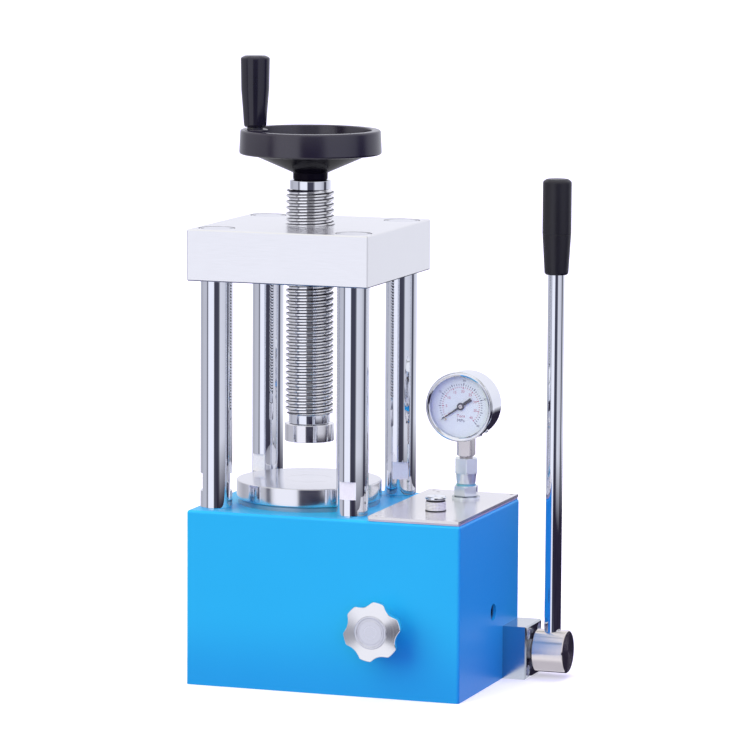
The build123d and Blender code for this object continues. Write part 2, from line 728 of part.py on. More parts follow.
gauge_washer = ring(gauge_column, ADAPTER_R + SNUG, WASHER_R, COVER_TOP, WASHER_TOP)
gauge_washer.part.label = "gauge_washer"
export_step(gauge_washer.part, "parts/gauge_washer.step")

with BuildPart() as gauge_adapter:
    with BuildSketch(gauge_column):
        with BuildLine():
            Polyline(
                (0, ADAPTER_LOW),
                (ADAPTER_R, ADAPTER_LOW),
                (ADAPTER_R, WASHER_TOP),
                (8.0, WASHER_TOP),
                (8.0, ADAPTER_HEX_TOP),
                (NIPPLE_R, ADAPTER_HEX_TOP),
                (NIPPLE_R, UNION_HEX_LOW),
                (0, UNION_HEX_LOW),
                close=True,
            )
        make_face()
    revolve(axis=Axis((GAUGE_X, GAUGE_Y, 0), (0, 0, 1)))
    with BuildSketch(Plane.XY.offset(WASHER_TOP)):
        with Locations(Location((GAUGE_X, GAUGE_Y), ADAPTER_TURN)):
            RegularPolygon(ADAPTER_HALF_FLATS, 6, major_radius=False)
    extrude(amount=ADAPTER_HEX_TOP - WASHER_TOP)
    with Locations(Plane(origin=(GAUGE_X, GAUGE_Y, ADAPTER_LOW), z_dir=(0, 0, -1))):
        Hole(TUBE_R + SNUG, depth=TUBE_TOP - ADAPTER_LOW)
gauge_adapter.part.label = "gauge_adapter"
export_step(gauge_adapter.part, "parts/gauge_adapter.step")

gauge_seal_ring = ring(gauge_column, NIPPLE_R + SNUG, 8.6, ADAPTER_HEX_TOP, O_RING_TOP)
gauge_seal_ring.part.label = "gauge_seal_ring"
export_step(gauge_seal_ring.part, "parts/gauge_seal_ring.step")

with BuildPart() as gauge_union:
    with BuildSketch(gauge_column):
        with BuildLine():
            Polyline(
                (NIPPLE_R + SNUG, O_RING_TOP),
                (7.9, O_RING_TOP),
                (8.3, O_RING_TOP + 1),
                (9.2, UNION_HEX_LOW),
                (NIPPLE_R + SNUG, UNION_HEX_LOW),
                close=True,
            )
        make_face()
    revolve(axis=Axis((GAUGE_X, GAUGE_Y, 0), (0, 0, 1)))
    with BuildSketch(Plane.XY.offset(UNION_HEX_LOW)):
        with Locations(Location((GAUGE_X, GAUGE_Y), UNION_TURN)):
            RegularPolygon(UNION_HALF_FLATS, 6, major_radius=False)
        with Locations((GAUGE_X, GAUGE_Y)):
            Circle(NIPPLE_R + SNUG, mode=Mode.SUBTRACT)
    extrude(amount=UNION_TOP - UNION_HEX_LOW)
gauge_union.part.label = "gauge_union"
export_step(gauge_union.part, "parts/gauge_union.step")

with BuildPart() as gauge_stem:
    with BuildSketch(gauge_column):
        with BuildLine():
            Polyline(
                (0, UNION_HEX_LOW + 1),
                (NIPPLE_R, UNION_HEX_LOW + 1),
                (NIPPLE_R, STEM_LOW),
                (0, STEM_LOW),
                close=True,
            )
        make_face()
    revolve(axis=Axis((GAUGE_X, GAUGE_Y, 0), (0, 0, 1)))
    with BuildSketch(Plane.XY.offset(STEM_LOW)):
        with Locations((GAUGE_X, GAUGE_Y)):
            Rectangle(STEM_WIDTH, STEM_WIDTH)
    extrude(amount=STEM_TOP - STEM_LOW)
    chamfer(gauge_stem.edges().filter_by(Axis.Z), 0.8)
gauge_stem.part.label = "gauge_stem"
export_step(gauge_stem.part, "parts/gauge_stem.step")

CASE_INNER_R = 28.0
CASE_WALL = 1.5
CASE_ROUND = 3.0          # rounded back edge of the case
RING_SEAT = BEZEL_FRONT + 4.6

with BuildPart() as gauge_case:
    with BuildSketch(gauge_face):
        with BuildLine():
            Polyline(
                (CASE_INNER_R, RING_SEAT + 0.2),
                (CASE_R, RING_SEAT + 0.2),
                (CASE_R, CASE_BACK - CASE_ROUND),
                (CASE_R - 0.3 * CASE_ROUND, CASE_BACK - 0.3 * CASE_ROUND),
                (CASE_R - CASE_ROUND, CASE_BACK),
                (0, CASE_BACK),
                (0, CASE_BACK - CASE_WALL),
                (CASE_INNER_R - CASE_WALL, CASE_BACK - CASE_WALL),
                (CASE_INNER_R, CASE_BACK - 2 * CASE_WALL),
                close=True,
            )
        make_face()
    revolve(axis=Axis(gauge_face.origin, gauge_face.y_dir))
    with BuildSketch(Plane.XY.offset(GAUGE_Z - CASE_R - 1)):
        with Locations((GAUGE_X, GAUGE_Y)):
            Rectangle(STEM_WIDTH + 0.1, STEM_WIDTH + 0.1)
    extrude(amount=8, mode=Mode.SUBTRACT)
gauge_case.part.label = "gauge_case"
export_step(gauge_case.part, "parts/gauge_case.step")

gauge_bezel = turned(gauge_face, (
    (27.0, BEZEL_FRONT + 0.8),
    (28.4, BEZEL_FRONT + 0.1),
    (29.8, BEZEL_FRONT),
    (30.6, BEZEL_FRONT + 0.8),
    (BEZEL_R, BEZEL_FRONT + 2.2),
    (BEZEL_R, BEZEL_FRONT + 7.4),
    (30.3, BEZEL_FRONT + 8.0),
    (CASE_R + SNUG, BEZEL_FRONT + 8.0),
    (CASE_R + SNUG, RING_SEAT),
    (28.5, RING_SEAT),
    (28.5, BEZEL_FRONT + 2.2),
    (27.0, BEZEL_FRONT + 2.2),
))
gauge_bezel.part.label = "gauge_bezel"
export_step(gauge_bezel.part, "parts/gauge_bezel.step")

gauge_window = turned(gauge_face, (
    (0, BEZEL_FRONT + 2.3),
    (28.4, BEZEL_FRONT + 2.3),
    (28.4, BEZEL_FRONT + 4.3),
    (0, BEZEL_FRONT + 4.3),
))
gauge_window.part.label = "gauge_window"
export_step(gauge_window.part, "parts/gauge_window.step")

ARBOR_R = 1.0
PLATE_GAP_FRONT = 31.5
PLATE_GAP_BACK = 40.0
SECTOR_R = SECTOR_DROP - PINION_R - 0.15
SECTOR_FRONT = 35.0
SECTOR_BACK = 36.6
PIVOT_R = 1.2
SECTOR_LEAN = 15.0        # how far the rack leans from upright at rest
SECTOR_SPAN = 44.0
SECTOR_HUB_R = 3.0

DIAL_R = 27.6
DIAL_THICK = 0.8
STOP_PIN_R = 0.6
STOP_PIN_HEIGHT = 2.2
STOP_PIN_REACH = 18.7
STOP_PIN_TURN = POINTER_REST + 5

# the dial disc, and the zero stop pin riveted into it
with BuildPart() as gauge_dial:
    with BuildSketch(gauge_plane(DIAL_FRONT)):
        Circle(DIAL_R)
        Circle(ARBOR_R + FREE, mode=Mode.SUBTRACT)
    extrude(amount=-DIAL_THICK)
    with BuildSketch(gauge_plane(DIAL_FRONT)):
        with PolarLocations(STOP_PIN_REACH, 1, start_angle=STOP_PIN_TURN):
            Circle(STOP_PIN_R)
    extrude(amount=STOP_PIN_HEIGHT)
gauge_dial.part.label = "gauge_dial"
export_step(gauge_dial.part, "parts/gauge_dial.step")

POINTER_REACH = 22.2
POINTER_TAIL = 11.6
POINTER_HUB_R = 3.3
POINTER_CAP_R = 1.7
POINTER_THICK = 0.6
POINTER_CAP_THICK = 1.1
rest_angle = math.radians(POINTER_REST)
POINTER_PLANE = Plane(
    origin=(GAUGE_X, DIAL_FRONT - 1.0, GAUGE_Z),
    x_dir=(math.cos(rest_angle), 0, math.sin(rest_angle)),
    z_dir=(0, -1, 0),
)

with BuildPart() as gauge_pointer:
    with BuildSketch(POINTER_PLANE):
        with BuildLine():
            Polyline((POINTER_REACH, 0.15), (3.0, 0.9), (3.0, -0.9), (POINTER_REACH, -0.15), close=True)
        make_face()
        Circle(POINTER_HUB_R)
        with BuildLine():
            Polyline((-2.6, 1.2), (-POINTER_TAIL, 1.5), (-POINTER_TAIL, -1.5), (-2.6, -1.2), close=True)
        make_face()
    extrude(amount=POINTER_THICK)
    with BuildSketch(POINTER_PLANE):
        Circle(POINTER_CAP_R)
    extrude(amount=POINTER_CAP_THICK)
gauge_pointer.part.label = "gauge_pointer"
export_step(gauge_pointer.part, "parts/gauge_pointer.step")

pointer_arbor = turned(gauge_face, (
    (0, DIAL_FRONT - 1.0),
    (ARBOR_R, DIAL_FRONT - 1.0),
    (ARBOR_R, SECTOR_FRONT - 1),
    (PINION_R, SECTOR_FRONT - 1),
    (PINION_R, SECTOR_BACK + 1),
    (ARBOR_R, SECTOR_BACK + 1),
    (ARBOR_R, PLATE_GAP_BACK + 1),
    (0, PLATE_GAP_BACK + 1),
))
pointer_arbor.part.label = "pointer_arbor"
export_step(pointer_arbor.part, "parts/pointer_arbor.step")

SECTOR_PLANE = Plane(
    origin=(GAUGE_X, SECTOR_BACK, GAUGE_Z - SECTOR_DROP), x_dir=(1, 0, 0), z_dir=(0, -1, 0)
)

with BuildPart() as sector_gear:
    with BuildSketch(SECTOR_PLANE):
        Circle(SECTOR_HUB_R)
        with BuildLine():
            rack = CenterArc((0, 0), SECTOR_R, 90 - SECTOR_LEAN - SECTOR_SPAN / 2, SECTOR_SPAN)
            Polyline(rack @ 1, (0, 0), rack @ 0)
        make_face()
        Circle(PIVOT_R + RUNNING, mode=Mode.SUBTRACT)
    extrude(amount=SECTOR_BACK - SECTOR_FRONT)
sector_gear.part.label = "sector_gear"
export_step(sector_gear.part, "parts/sector_gear.step")

MOVEMENT_PLATE_THICK = 1.2
PILLAR_X = 11.8
PILLAR_DROP = 17.5
PILLAR_R = 1.6

# movement frame: two plates, the sector pivot and two pillars
with BuildPart() as gauge_movement:
    for plate_front in (PLATE_GAP_FRONT, PLATE_GAP_BACK):
        with BuildSketch(gauge_plane(plate_front + MOVEMENT_PLATE_THICK)):
            with Locations((0, -7)):
                Rectangle(28, 26)
            Circle(ARBOR_R + RUNNING, mode=Mode.SUBTRACT)
        extrude(amount=MOVEMENT_PLATE_THICK)
    with BuildSketch(gauge_plane(PLATE_GAP_BACK)):
        with Locations((0, -SECTOR_DROP)):
            Circle(PIVOT_R)
        with Locations((-PILLAR_X, -PILLAR_DROP), (PILLAR_X, -PILLAR_DROP)):
            Circle(PILLAR_R)
    extrude(amount=PLATE_GAP_BACK - PLATE_GAP_FRONT - MOVEMENT_PLATE_THICK)
gauge_movement.part.label = "gauge_movement"
export_step(gauge_movement.part, "parts/gauge_movement.step")

BOURDON_Y = 45.5
BOURDON_R = 22.3
BOURDON_THICK = 2.4
BOURDON_WIDTH = 7.0
BOURDON_ARC = 255.0

with BuildPart() as bourdon_tube:
    with BuildSketch(Plane(origin=(GAUGE_X, BOURDON_Y, GAUGE_Z), x_dir=(0, 0, -1), z_dir=(1, 0, 0))):
        with Locations((BOURDON_R, 0)):
            RectangleRounded(BOURDON_THICK, BOURDON_WIDTH, 1)
    revolve(axis=Axis((GAUGE_X, 0, GAUGE_Z), (0, 1, 0)), revolution_arc=BOURDON_ARC)
bourdon_tube.part.label = "bourdon_tube"
export_step(bourdon_tube.part, "parts/bourdon_tube.step")

TUBE_ENTRY_Y = 22.0       # where the tube enters the top of the pump
TUBE_BEND_R = 9.0

with BuildPart() as gauge_tube:
    with BuildLine():
        run = FilletPolyline(
            (GAUGE_X, GAUGE_Y, TUBE_TOP - 0.2),
            (GAUGE_X, GAUGE_Y, 116),
            (GAUGE_X, TUBE_ENTRY_Y, 95),
            (GAUGE_X, TUBE_ENTRY_Y, PUMP_TOP - 8),
            radius=TUBE_BEND_R,
        )
    with BuildSketch(Plane(origin=run @ 0, z_dir=run % 0)):
        Circle(TUBE_R)
        Circle(TUBE_R - 1, mode=Mode.SUBTRACT)
    sweep()
gauge_tube.part.label = "gauge_tube"
export_step(gauge_tube.part, "parts/gauge_tube.step")

# ------------------------------------------------------------ pump internals
CHAMBER_R = 3.5
SEAT_HOLE_R = 1.5
SEAT_TOP = 52.0
INLET_SEAT_TOP = 16.6
INLET_TOP = 21.8
OUTLET_PLUG_LOW = 64.0
OUTLET_HEX_HALF_FLATS = 5.0
OUTLET_HEX_THICK = 5.0
PLUNGER_FACE = LEVER_Y - CAM_R - FREE
PLUNGER_TIP = 14.0
PLUNGER_HEAD_R = 9.0
PLUNGER_HEAD_THICK = 4.0
SPRING_WIRE = 0.7
SPRING_R = 7.0
SPRING_TURNS = 5


def ball_seated_on(seat_top):
    """Height of a ball's centre when it rests just clear of the seat's edge."""
    return seat_top + math.sqrt(BALL_R**2 - SEAT_HOLE_R**2) + 0.03


with BuildPart() as pump_body:
    with BuildSketch(Plane.XY.offset(PUMP_LOW)):
        with Locations(((TANK_LEFT + PUMP_RIGHT) / 2, (PUMP_FRONT + PUMP_BACK) / 2)):
            Rectangle(PUMP_RIGHT - TANK_LEFT, PUMP_BACK - PUMP_FRONT)
    extrude(amount=PUMP_TOP - PUMP_LOW)
    chamfer(pump_body.faces().sort_by(Axis.Z)[-1].edges(), 1.0)
    with Locations(Plane(origin=(PUMP_X, PUMP_BACK, PLUNGER_Z), z_dir=(0, 1, 0))):
        Hole(PLUNGER_R + RUNNING, depth=PUMP_BACK - VALVE_Y + 3.5)
    with Locations((PUMP_X, VALVE_Y, PUMP_TOP)):
        Hole(SEAT_HOLE_R, depth=PUMP_TOP - PLUNGER_Z)
        Hole(CHAMBER_R, depth=PUMP_TOP - SEAT_TOP)
    with Locations((PUMP_X, TUBE_ENTRY_Y, PUMP_TOP)):
        Hole(TUBE_R + SNUG, depth=PUMP_TOP - OILWAY_Z)
    with Locations(Plane(origin=(PUMP_X, VALVE_Y, PUMP_LOW), z_dir=(0, 0, -1))):
        Hole(CHAMBER_R, depth=INLET_TOP - PUMP_LOW)
        Hole(SEAT_HOLE_R, depth=PLUNGER_Z - PUMP_LOW)
    with Locations(Plane(origin=(TANK_LEFT, VALVE_Y, OILWAY_Z), z_dir=(-1, 0, 0))):
        Hole(OILWAY_R, depth=PUMP_X - TANK_LEFT)
pump_body.part.label = "pump_body"
export_step(pump_body.part, "parts/pump_body.step")

# inlet seat with its suction hole, and the plug over the outlet valve
with BuildPart() as valve_plugs:
    with BuildSketch(Plane.XY.offset(PUMP_LOW - 2)):
        with Locations((PUMP_X, VALVE_Y)):
            Circle(CHAMBER_R - SNUG)
            Circle(SEAT_HOLE_R, mode=Mode.SUBTRACT)
    extrude(amount=INLET_SEAT_TOP - PUMP_LOW + 2)
    with BuildSketch(Plane.XY.offset(OUTLET_PLUG_LOW)):
        with Locations((PUMP_X, VALVE_Y)):
            Circle(CHAMBER_R - SNUG)
    extrude(amount=PUMP_TOP - OUTLET_PLUG_LOW)
    with BuildSketch(Plane.XY.offset(PUMP_TOP)):
        with Locations((PUMP_X, VALVE_Y)):
            RegularPolygon(OUTLET_HEX_HALF_FLATS, 6, major_radius=False)
    extrude(amount=OUTLET_HEX_THICK)
valve_plugs.part.label = "valve_plugs"
export_step(valve_plugs.part, "parts/valve_plugs.step")

for ball_name, ball_seat in (("inlet_ball", INLET_SEAT_TOP), ("outlet_ball", SEAT_TOP)):
    with BuildPart() as ball:
        with Locations((PUMP_X, VALVE_Y, ball_seated_on(ball_seat))):
            Sphere(BALL_R)
    ball.part.label = ball_name
    export_step(ball.part, f"parts/{ball_name}.step")

pump_plunger = turned(rearward(PUMP_X, PLUNGER_Z), (
    (0, PLUNGER_TIP),
    (PLUNGER_R, PLUNGER_TIP),
    (PLUNGER_R, PLUNGER_FACE - PLUNGER_HEAD_THICK),
    (PLUNGER_HEAD_R, PLUNGER_FACE - PLUNGER_HEAD_THICK),
    (PLUNGER_HEAD_R, PLUNGER_FACE),
    (0, PLUNGER_FACE),
))
pump_plunger.part.label = "pump_plunger"
export_step(pump_plunger.part, "parts/pump_plunger.step")

with BuildPart() as plunger_spring:
    spring_length = PLUNGER_FACE - PLUNGER_HEAD_THICK - PUMP_BACK - 2 * SPRING_WIRE
    with BuildLine():
        coil = Helix(
            pitch=spring_length / SPRING_TURNS,
            height=spring_length,
            radius=SPRING_R,
            center=(PUMP_X, PUMP_BACK + SPRING_WIRE, PLUNGER_Z),
            direction=(0, 1, 0),
        )
    with BuildSketch(Plane(origin=coil @ 0, z_dir=coil % 0)):
        Circle(SPRING_WIRE)
    sweep(is_frenet=True)
plunger_spring.part.label = "plunger_spring"
export_step(plunger_spring.part, "parts/plunger_spring.step")

# ----------------------------------------------------- lever shaft and lever
BUSHING_R = 11.0
CAM_LEFT = 125.0
CAM_RIGHT = 138.0
SHAFT_LEFT = 119.0
SHAFT_STEP = 142.0
CAM_BORE_R = 6.0
SHAFT_RIGHT = 198.4
BLOCK_EDGE = 1.2
SINK_SCREW_R = 5.0
SINK_SCREW_DEPTH = 6.5    # counterbore of the socket screws
SINK_SCREW_HEAD = 6.0
SOCKET_HEX_HALF_FLATS = 2.5
SOCKET_HEX_DEPTH = 4.0
lever_axis = rightward(LEVER_Y, LEVER_Z)

with BuildPart() as pump_bearing_block:
    with BuildSketch(RIGHT_FACE):
        with Locations(((BLOCK_FRONT + HALF_DEPTH) / 2, BLOCK_TOP / 2)):
            Rectangle(HALF_DEPTH - BLOCK_FRONT, BLOCK_TOP)
    extrude(amount=BLOCK_RIGHT - BASE_RIGHT)
    outer_edges = pump_bearing_block.edges().group_by(Axis.X)[-1]
    chamfer(outer_edges, BLOCK_EDGE)
    with Locations(BLOCK_FACE):
        with Locations((LEVER_Y, LEVER_Z)):
            Hole(BUSHING_R + SNUG)
        with Locations(*BLOCK_SCREW_YZ):
            CounterBoreHole(BLOCK_SCREW_R + SNUG, SINK_SCREW_R + 0.1, SINK_SCREW_DEPTH)
pump_bearing_block.part.label = "pump_bearing_block"
export_step(pump_bearing_block.part, "parts/pump_bearing_block.step")

with BuildPart() as bearing_block_screws:
    with BuildSketch(BLOCK_FACE.offset(-SINK_SCREW_DEPTH)):
        with Locations(*BLOCK_SCREW_YZ):
            Circle(SINK_SCREW_R)
    extrude(amount=SINK_SCREW_HEAD)
    with BuildSketch(BLOCK_FACE.offset(-SINK_SCREW_DEPTH)):
        with Locations(*BLOCK_SCREW_YZ):
            Circle(BLOCK_SCREW_R)
    extrude(amount=-(BLOCK_RIGHT - SINK_SCREW_DEPTH - BASE_RIGHT + BLOCK_SCREW_DEPTH - 1))
    with BuildSketch(BLOCK_FACE):
        with Locations(*BLOCK_SCREW_YZ):
            RegularPolygon(SOCKET_HEX_HALF_FLATS, 6, major_radius=False)
    extrude(amount=-SOCKET_HEX_DEPTH, mode=Mode.SUBTRACT)
bearing_block_screws.part.label = "bearing_block_screws"
export_step(bearing_block_screws.part, "parts/bearing_block_screws.step")

shaft_bushing = ring(lever_axis, SHAFT_R + RUNNING, BUSHING_R, BASE_RIGHT + 0.2, BLOCK_RIGHT)
shaft_bushing.part.label = "shaft_bushing"
export_step(shaft_bushing.part, "parts/shaft_bushing.step")

shaft_seal = ring(lever_axis, SHAFT_R + RUNNING, SEAL_R, BASE_RIGHT - SEAL_DEPTH, BASE_RIGHT - 0.2)
shaft_seal.part.label = "shaft_seal"
export_step(shaft_seal.part, "parts/shaft_seal.step")

lever_shaft = turned(lever_axis, (
    (0, SHAFT_LEFT),
    (CAM_BORE_R, SHAFT_LEFT),
    (CAM_BORE_R, SHAFT_STEP),
    (SHAFT_R, SHAFT_STEP),
    (SHAFT_R, SHAFT_RIGHT),
    (0, SHAFT_RIGHT),
))
lever_shaft.part.label = "lever_shaft"
export_step(lever_shaft.part, "parts/lever_shaft.step")

with BuildPart() as eccentric_cam:
    with BuildSketch(Plane.YZ.offset(CAM_LEFT)):
        with Locations((LEVER_Y, LEVER_Z + CAM_THROW)):
            Circle(CAM_R)
        with Locations((LEVER_Y, LEVER_Z)):
            Circle(CAM_BORE_R + SNUG, mode=Mode.SUBTRACT)
    extrude(amount=CAM_RIGHT - CAM_LEFT)
eccentric_cam.part.label = "eccentric_cam"
export_step(eccentric_cam.part, "parts/eccentric_cam.step")

ROD_BORE_DEPTH = SOCKET_R + 11
SET_SCREW_R = 4.0
SET_SCREW_HEX_HALF_FLATS = 2.0
SET_SCREW_HEX_DEPTH = 4.5

with BuildPart() as lever_socket:
    with BuildSketch(lever_axis):
        with BuildLine():
            Polyline(
                (SHAFT_R + SNUG, SOCKET_LEFT),
                (SOCKET_R - TOP_EDGE, SOCKET_LEFT),
                (SOCKET_R, SOCKET_LEFT + TOP_EDGE),
                (SOCKET_R, SOCKET_RIGHT - TOP_EDGE),
                (SOCKET_R - TOP_EDGE, SOCKET_RIGHT),
                (0, SOCKET_RIGHT),
                (0, SHAFT_RIGHT + 0.1),
                (SHAFT_R + SNUG, SHAFT_RIGHT + 0.1),
                close=True,
            )
        make_face()
    revolve(axis=Axis(lever_axis.origin, lever_axis.y_dir))
    with Locations((LEVER_X, LEVER_Y, LEVER_Z + SOCKET_R)):
        Hole(ROD_R + SNUG, depth=ROD_BORE_DEPTH)
    with Locations(Plane(origin=(LEVER_X, LEVER_Y + SOCKET_R, LEVER_Z), z_dir=(0, 1, 0))):
        Hole(SET_SCREW_R + SNUG, depth=SOCKET_R)
lever_socket.part.label = "lever_socket"
export_step(lever_socket.part, "parts/lever_socket.step")

with BuildPart() as lever_set_screw:
    with BuildSketch(Plane(origin=(LEVER_X, LEVER_Y + ROD_R, LEVER_Z), z_dir=(0, 1, 0))):
        Circle(SET_SCREW_R)
    extrude(amount=SOCKET_R - ROD_R - SMALL_EDGE)
    with BuildSketch(Plane(origin=(LEVER_X, LEVER_Y + SOCKET_R, LEVER_Z), z_dir=(0, 1, 0))):
        RegularPolygon(SET_SCREW_HEX_HALF_FLATS, 6, major_radius=False)
    extrude(amount=-SET_SCREW_HEX_DEPTH, mode=Mode.SUBTRACT)
lever_set_screw.part.label = "lever_set_screw"
export_step(lever_set_screw.part, "parts/lever_set_screw.step")

lever_rod = ring(upright(LEVER_X, LEVER_Y), 0, ROD_R, LEVER_Z + SOCKET_R - ROD_BORE_DEPTH + 0.5, ROD_TOP)
lever_rod.part.label = "lever_rod"
export_step(lever_rod.part, "parts/lever_rod.step")

GRIP_FULL_R = 12.65
GRIP_PARTING = 393.6      # height where the grip reaches its full radius

with BuildPart() as lever_grip:
    with BuildSketch(upright(LEVER_X, LEVER_Y)):
        with BuildLine():
            rod_bore = Polyline(
                (0, LEVER_GRIP_TOP),
                (0, ROD_TOP + 0.2),
                (ROD_R + SNUG, ROD_TOP + 0.2),
                (ROD_R + SNUG, LEVER_GRIP_LOW),
                (9.4, LEVER_GRIP_LOW),
                (10.5, LEVER_GRIP_LOW + 1.2),
                (GRIP_FULL_R, GRIP_PARTING),
                (GRIP_FULL_R, LEVER_GRIP_TOP - 3.6),
            )
            shoulder = RadiusArc(rod_bore @ 1, (10.6, LEVER_GRIP_TOP - 1.2), -2.4)
            Line(shoulder @ 1, rod_bore @ 0)
        make_face()
    revolve(axis=Axis((LEVER_X, LEVER_Y, 0), (0, 0, 1)))
lever_grip.part.label = "lever_grip"
export_step(lever_grip.part, "parts/lever_grip.step")

# ------------------------------------------------------------- release valve
GLAND_HEX_OUT = 4.0
KNOB_HUB_R = 11.0
KNOB_HUB_LOW = 4.6
FLANGE_LOW = 19.5
FLANGE_THICK = 6.2
GLAND_HALF_FLATS = 12.0
DISH_DEPTH = 1.0
SPINDLE_TIP = -40.4
SPINDLE_SHOULDER = -34.0
SPINDLE_SOCKET = 6.0      # the spindle ends this far behind the knob's front
SCALLOP_R = 12.1
SCALLOP_REACH = 34.6
valve_profile = outward(VALVE_AXIS)

with BuildPart() as valve_gland:
    with BuildSketch(VALVE_AXIS):
        Circle(GLAND_THREAD_R)
    extrude(amount=-(GLAND_DEPTH - 0.2))
    with BuildSketch(VALVE_AXIS):
        RegularPolygon(GLAND_HALF_FLATS, 6, major_radius=False)
    extrude(amount=GLAND_HEX_OUT)
    with Locations(VALVE_AXIS.offset(GLAND_HEX_OUT)):
        Hole(SPINDLE_R + RUNNING)
valve_gland.part.label = "valve_gland"
export_step(valve_gland.part, "parts/valve_gland.step")

release_spindle = turned(valve_profile, (
    (0, SPINDLE_TIP),
    (0.8, SPINDLE_TIP),
    (4.0, SPINDLE_SHOULDER),
    (SPINDLE_R, SPINDLE_SHOULDER),
    (SPINDLE_R, KNOB_FRONT - SPINDLE_SOCKET),
    (0, KNOB_FRONT - SPINDLE_SOCKET),
))
release_spindle.part.label = "release_spindle"
export_step(release_spindle.part, "parts/release_spindle.step")

with BuildPart() as release_knob:
    with BuildSketch(valve_profile):
        with BuildLine():
            Polyline(
                (SPINDLE_R + SNUG, KNOB_HUB_LOW),
                (KNOB_HUB_R, KNOB_HUB_LOW),
                (KNOB_HUB_R, FLANGE_LOW - 3),
                (KNOB_HUB_R + 3, FLANGE_LOW),
                (KNOB_R, FLANGE_LOW),
                (KNOB_R, FLANGE_LOW + FLANGE_THICK),
                (23.5, 27.6),
                (14.6, 28.8),
                (14.4, KNOB_FRONT),
                (12.2, KNOB_FRONT),
                (11.0, KNOB_FRONT - DISH_DEPTH),
                (0, KNOB_FRONT - DISH_DEPTH),
                (0, KNOB_FRONT - SPINDLE_SOCKET + 0.1),
                (SPINDLE_R + SNUG, KNOB_FRONT - SPINDLE_SOCKET + 0.1),
                close=True,
            )
        make_face()
    revolve(axis=Axis(valve_profile.origin, valve_profile.y_dir))
    with BuildSketch(VALVE_AXIS):
        Circle(KNOB_R + 1)
        with PolarLocations(SCALLOP_REACH, 6, start_angle=LOBE_ANGLE + 30):
            Circle(SCALLOP_R, mode=Mode.SUBTRACT)
    extrude(amount=KNOB_FRONT + 1, mode=Mode.INTERSECT)
release_knob.part.label = "release_knob"
export_step(release_knob.part, "parts/release_knob.step")

# ----------------------------------------------------------------- side plug
SIDE_PLUG_FACE = 2.5      # how far the plug sits in from the side
SIDE_PLUG_HEX_HALF_FLATS = 4.0
SIDE_PLUG_HEX_DEPTH = 4.5

with BuildPart() as side_plug:
    with BuildSketch(RIGHT_FACE.offset(-SIDE_PLUG_FACE)):
        with Locations((SIDE_PLUG_Y, SIDE_PLUG_Z)):
            Circle(SIDE_PLUG_R - SNUG)
    extrude(amount=-(BASE_RIGHT - TANK_RIGHT - SIDE_PLUG_FACE - 0.5))
    with BuildSketch(RIGHT_FACE.offset(-SIDE_PLUG_FACE)):
        with Locations((SIDE_PLUG_Y, SIDE_PLUG_Z)):
            RegularPolygon(SIDE_PLUG_HEX_HALF_FLATS, 6, major_radius=False)
    extrude(amount=-SIDE_PLUG_HEX_DEPTH, mode=Mode.SUBTRACT)
side_plug.part.label = "side_plug"
export_step(side_plug.part, "parts/side_plug.step")
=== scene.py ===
import math

import bmesh
import bpy
from mathutils import Matrix, Vector
from mathutils.geometry import tessellate_polygon


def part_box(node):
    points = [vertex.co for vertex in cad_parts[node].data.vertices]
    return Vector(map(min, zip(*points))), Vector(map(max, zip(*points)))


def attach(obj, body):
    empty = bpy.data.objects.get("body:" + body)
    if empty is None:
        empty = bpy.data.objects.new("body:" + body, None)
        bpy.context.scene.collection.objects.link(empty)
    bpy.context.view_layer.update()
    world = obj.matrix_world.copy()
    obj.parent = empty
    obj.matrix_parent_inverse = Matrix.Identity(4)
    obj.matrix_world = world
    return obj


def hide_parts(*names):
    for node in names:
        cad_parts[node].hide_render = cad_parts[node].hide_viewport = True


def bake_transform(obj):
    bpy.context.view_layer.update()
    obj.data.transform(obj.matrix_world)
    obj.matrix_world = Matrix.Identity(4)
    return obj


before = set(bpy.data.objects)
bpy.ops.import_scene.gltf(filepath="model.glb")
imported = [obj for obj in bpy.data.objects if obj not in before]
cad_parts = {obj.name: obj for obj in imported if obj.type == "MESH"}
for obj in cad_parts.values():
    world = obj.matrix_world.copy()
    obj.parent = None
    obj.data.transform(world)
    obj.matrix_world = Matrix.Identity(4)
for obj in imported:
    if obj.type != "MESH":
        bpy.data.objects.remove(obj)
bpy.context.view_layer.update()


# ---------- units and places

# Sizes are millimetres in the CAD frame, unless a comment says metres.
MM = 0.001            # brings them to Blender's metres
RING = 160            # segments round a turned piece
FILLET_STEPS = 6
MERGE = 1e-7          # metres; points nearer than this become one


def extent(node):
    """Lowest and highest corner of a CAD node, to a tenth of a millimetre."""
    return [[round(c / MM, 1) for c in corner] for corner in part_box(node)]


def middle(node):
    """Middle of a CAD node, to a tenth of a millimetre."""
    low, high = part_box(node)
    return [round((a + b) / 2 / MM, 1) for a, b in zip(low, high)]


def foot(node):
    """Where the upright axis of a CAD node meets its lowest height."""
    x, y, _ = middle(node)
    return (x, y, extent(node)[0][2])


BASE_FRONT = extent("base_block")[0][1]
BASE_TOP = extent("base_block")[1][2]
PLATE_FOOT = extent("top_plate")[0][2]
COLUMN_X, COLUMN_Y, _ = middle("column_back_right")
SCREW_FOOT = foot("lead_screw")
WHEEL_FOOT = foot("handwheel")
GRIP_X, GRIP_Y, _ = middle("handwheel_grip")
RAM_TOP = extent("ram_plate")[1][2]
CAP_FOOT, CAP_TOP = (corner[2] for corner in extent("column_nuts"))
FILLER_X, FILLER_Y, NECK_FOOT = foot("filler_neck")
WASHER_TOP = extent("gauge_washer")[1][2]
KNOB_X, _, KNOB_Z = middle("release_knob")
_, SOCKET_Y, SOCKET_Z = middle("lever_socket")


def add_object(name, data):
    """New object in the scene."""
    item = bpy.data.objects.new(name, data)
    bpy.context.scene.collection.objects.link(item)
    return item


# ---------- camera

